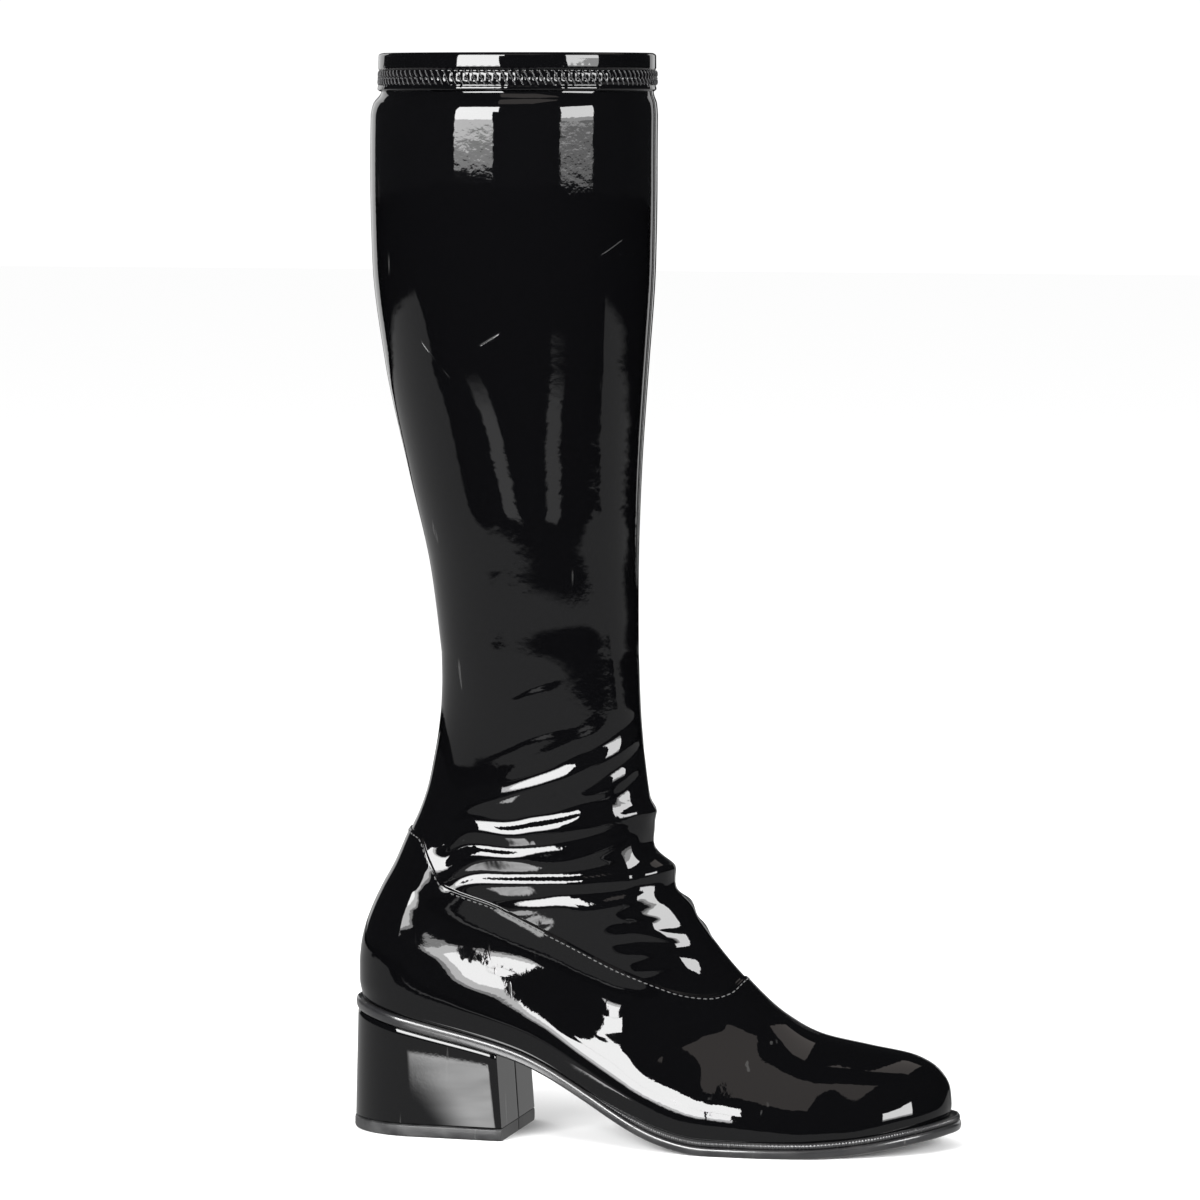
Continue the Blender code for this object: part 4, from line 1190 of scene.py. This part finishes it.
def makeHeel():
    foot = boot["liftThick"] + boot["gap"]
    inset = boot["heelInset"]
    loops = [heelLoop(inset + heelShape["footIn"], 0.0, blockTop, foot)]
    loops += [heelLoop(inset + soft, share, blockTop, foot)
              for share, soft in heelShape["cover"]]
    stackHeel("heelCover", loops, heelPatent, "heel")
    show = inset - heelShape["liftShow"]
    loops = [heelLoop(show + soft, 0.0, z, 0.0) for soft, z in heelShape["lift"]]
    stackHeel("topPiece", loops, liftMaterial, "heel_lift")


makeHeel()
print("heel made")

# the insole is right as it is in the model: it gets its sock
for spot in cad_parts["insole"].material_slots:
    spot.material = sock


# floor, camera and studio light
studio = {
    "floorSide": 12.0, "lens": 171.0,
    "camera": (0.5790, -2.3292, 0.4400), "aim": (-0.0219, -0.0057, 0.2295),
    "boxDistance": 2.0, "boxAim": (-0.04, 0.0),
    # softbox panels: azimuth, width, lower edge, upper edge, glow
    "panels": [(-21.0, 0.98, 0.385, 0.43, 6.0), (-21.0, 0.98, 0.43, 0.54, 15.0),
               (-21.0, 0.98, 0.54, 0.95, 28.0),
               (-19.5, 1.11, 0.95, 1.50, 28.0),
               (55.0, 0.98, 0.36, 0.43, 3.5), (55.0, 0.98, 0.43, 0.54, 8.0),
               (55.0, 0.98, 0.54, 1.25, 20.0)],
    # dim warm cards overhead: x, y, length along x, length along y, glow
    "cardHeight": 1.6,
    "topCards": [(0.15, -1.00, 0.75, 1.00, 1.0), (0.55, 0.45, 0.55, 0.85, 1.2)],
    # the bright patch of floor that the heel's flat side sees, a painted reflection that glows
    # for the gloss
    # only: x at its left and right edges, their slopes, near and far edge, glow
    "patchLeft": -0.060, "leftSlope": 0.50, "patchRight": -0.0458, "rightSlope": 0.36,
    "patchNear": -0.045, "patchFar": -0.262, "paintedPatchGlow": 11.0,
    # pale strips painted on the floor as a glow that only the gloss sees, a painted reflection:
    # azimuth at the near end, turn per metre and half width in degrees, near, far, glow
    "paintedStrips": [(-6.0, -50.0, 7.0, 0.76, 1.25, 1.2), (23.0, 28.0, 6.0, 0.84, 1.45, 1.0)],
    # glow of the painted grey floor reflection, and how far from the middle it fades out
    "paintedFloorGlow": 0.55, "paintedFar": 2.3,
    # the front edge of the painted floor reflection, where its glow stops, left to right: x, y
    "paintedEdge": [(-2.0, -0.70), (2.0, -0.30), (-1.0, -0.62), (-0.5, -0.52), (-0.3, -0.62),
                (0.0, -0.66), (0.35, -0.66), (0.6, -0.62), (1.2, -0.50), (1.5, -0.30)],
}


def paintedFloorReflection(tree):
    # painted reflection: the floor's glow as the gloss sees it, grey up to a dark edge, two pale
    # strips and the bright patch by the heel
    place = tree.nodes.new("ShaderNodeTexCoord").outputs["Object"]
    split = tree.nodes.new("ShaderNodeSeparateXYZ")
    tree.links.new(place, split.inputs["Vector"])
    wide, deep = split.outputs["X"], split.outputs["Y"]
    far = addMath(tree, "SQRT", addMath(tree, "ADD", addMath(tree, "MULTIPLY", wide, wide),
                                        addMath(tree, "MULTIPLY", deep, deep)))
    paintedGlow = addRamp(tree, far, studio["paintedFar"], studio["paintedFar"] - 0.3)
    edge = tree.nodes.new("ShaderNodeFloatCurve")
    curve = edge.mapping.curves[0]
    for i, (x, y) in enumerate(studio["paintedEdge"]):
        spot = ((x + 2) / 4, -y / 2)
        if i < 2:
            curve.points[i].location = spot
        else:
            curve.points.new(*spot)
    edge.mapping.update()
    tree.links.new(addMath(tree, "MULTIPLY_ADD", wide, 0.25, 0.5), edge.inputs["Value"])
    over = addMath(tree, "MULTIPLY_ADD", edge.outputs["Value"], 2.0, deep)
    paintedGlow = addProduct(tree, paintedGlow, addRamp(tree, over, -0.02, 0.02), studio["paintedFloorGlow"])
    turn = addMath(tree, "ARCTAN2", addMath(tree, "ADD", wide, 0.04),
                   addMath(tree, "MULTIPLY", deep, -1.0))
    for azimuth, lean, half, near, end, bright in studio["paintedStrips"]:
        middle = addMath(tree, "MULTIPLY_ADD", far, math.radians(lean),
                         math.radians(azimuth - lean * near))
        away = addMath(tree, "ABSOLUTE", addMath(tree, "SUBTRACT", turn, middle))
        paintedStrip = addProduct(tree, addRamp(tree, away, math.radians(half),
                                         math.radians(0.7 * half)),
                           addRamp(tree, far, near, near + 0.05),
                           addRamp(tree, far, end, end - 0.25))
        paintedGlow = addMath(tree, "MULTIPLY_ADD", paintedStrip, bright, paintedGlow)
    # painted reflection: a bright glowing patch beside the heel, mottled by a cloud of noise
    ramps = [addRamp(tree, value, studio[name] + low, studio[name] + high)
             for value, name, low, high in (
                 (addMath(tree, "MULTIPLY_ADD", deep, -studio["leftSlope"], wide),
                  "patchLeft", -0.012, 0.012),
                 (addMath(tree, "MULTIPLY_ADD", deep, -studio["rightSlope"], wide),
                  "patchRight", 0.004, -0.004),
                 (deep, "patchFar", 0.0, 0.04), (deep, "patchNear", 0.0, -0.01))]
    cloud = addRamp(tree, addNoise(tree, place, 28.0, 2.0), 0.25, 0.75)
    cloud = addMath(tree, "MULTIPLY_ADD", cloud, 0.30, 0.78)
    patch = addProduct(tree, *ramps, cloud)
    return addMath(tree, "MULTIPLY_ADD", patch, studio["paintedPatchGlow"], paintedGlow)


def makeFloor():
    side = studio["floorSide"]
    verts = [(-side, -side, 0), (side, -side, 0), (side, side, 0), (-side, side, 0)]
    mesh = bpy.data.meshes.new("floor")
    mesh.from_pydata(verts, [], [(0, 1, 2, 3)])
    floor = bpy.data.objects.new("floor", mesh)
    bpy.context.scene.collection.objects.link(floor)
    material = bpy.data.materials.new("paleFloorAndPaintedReflection")
    material.use_nodes = True
    tree = material.node_tree
    shader = tree.nodes["Principled BSDF"]
    shader.inputs["Base Color"].default_value = (0.90, 0.90, 0.90, 1)
    shader.inputs["Roughness"].default_value = 0.8
    shader.inputs["Specular IOR Level"].default_value = 0.0
    shader.inputs["Emission Color"].default_value = (1, 1, 1, 1)
    shader.inputs["Emission Strength"].default_value = 0.03
    # glossy rays see this emission in place of the pale floor: a painted reflection, laid out by
    # place on the floor
    glow = tree.nodes.new("ShaderNodeEmission")
    glow.inputs["Color"].default_value = (1, 1, 1, 1)
    tree.links.new(paintedFloorReflection(tree), glow.inputs["Strength"])
    ray = tree.nodes.new("ShaderNodeLightPath")
    mix = tree.nodes.new("ShaderNodeMixShader")
    tree.links.new(ray.outputs["Is Glossy Ray"], mix.inputs["Fac"])
    tree.links.new(shader.outputs["BSDF"], mix.inputs[1])
    tree.links.new(glow.outputs["Emission"], mix.inputs[2])
    tree.links.new(mix.outputs["Shader"], tree.nodes["Material Output"].inputs["Surface"])
    mesh.materials.append(material)


def aimAt(obj, target):
    way = Vector(target) - Vector(obj.location)
    obj.rotation_euler = way.to_track_quat("-Z", "Y").to_euler()


def addArea(name, glow, width, height, place):
    data = bpy.data.lights.new(name, "AREA")
    data.shape = "RECTANGLE"
    data.size = width
    data.size_y = height
    data.energy = glow * math.pi * width * height
    light = bpy.data.objects.new(name, data)
    light.location = place
    light.visible_camera = False
    bpy.context.scene.collection.objects.link(light)
    return light


def addBox(name, azimuth, glow, width, low, high, distance):
    x, y = studio["boxAim"]
    turn = math.radians(azimuth)
    middle = (low + high) / 2
    light = addArea(name, glow, width, high - low, (x + distance * math.sin(turn),
                                                    y - distance * math.cos(turn), middle))
    aimAt(light, (x, y, middle))


def makeStudio():
    makeFloor()
    for k, (azimuth, width, low, high, glow) in enumerate(studio["panels"]):
        addBox(f"softbox{k}", azimuth, glow, width, low, high, studio["boxDistance"])
    for k, (x, y, long, deep, glow) in enumerate(studio["topCards"]):
        card = addArea(f"topCard{k}", glow, long, deep, (x, y, studio["cardHeight"]))
        card.data.color = (1.0, 0.91, 0.86)
        card.visible_diffuse = False
    for name, azimuth in (("rimLeft", -140), ("rimRight", 165)):
        addBox(name, azimuth, 1.2, 0.9, 0.05, 1.3, 2.2)
    world = bpy.data.worlds.new("studioWorld")
    bpy.context.scene.world = world
    world.use_nodes = True
    tree = world.node_tree
    tree.nodes.clear()
    ray = tree.nodes.new("ShaderNodeLightPath")
    seen = tree.nodes.new("ShaderNodeBackground")
    seen.inputs["Color"].default_value = (1, 1, 1, 1)
    seen.inputs["Strength"].default_value = 1.05
    dark = tree.nodes.new("ShaderNodeBackground")
    dark.inputs["Color"].default_value = (0.9, 0.95, 1, 1)
    dark.inputs["Strength"].default_value = 0.03
    mix = tree.nodes.new("ShaderNodeMixShader")
    end = tree.nodes.new("ShaderNodeOutputWorld")
    tree.links.new(ray.outputs["Is Glossy Ray"], mix.inputs["Fac"])
    tree.links.new(seen.outputs["Background"], mix.inputs[1])
    tree.links.new(dark.outputs["Background"], mix.inputs[2])
    tree.links.new(mix.outputs["Shader"], end.inputs["Surface"])
    lens = bpy.data.cameras.new("camera")
    lens.lens = studio["lens"]
    lens.sensor_width = 36.0
    lens.clip_end = 50.0
    camera = bpy.data.objects.new("camera", lens)
    camera.location = studio["camera"]
    aimAt(camera, studio["aim"])
    bpy.context.scene.collection.objects.link(camera)
    bpy.context.scene.camera = camera
    bpy.context.scene.view_settings.view_transform = "Standard"


makeStudio()
print("studio made")
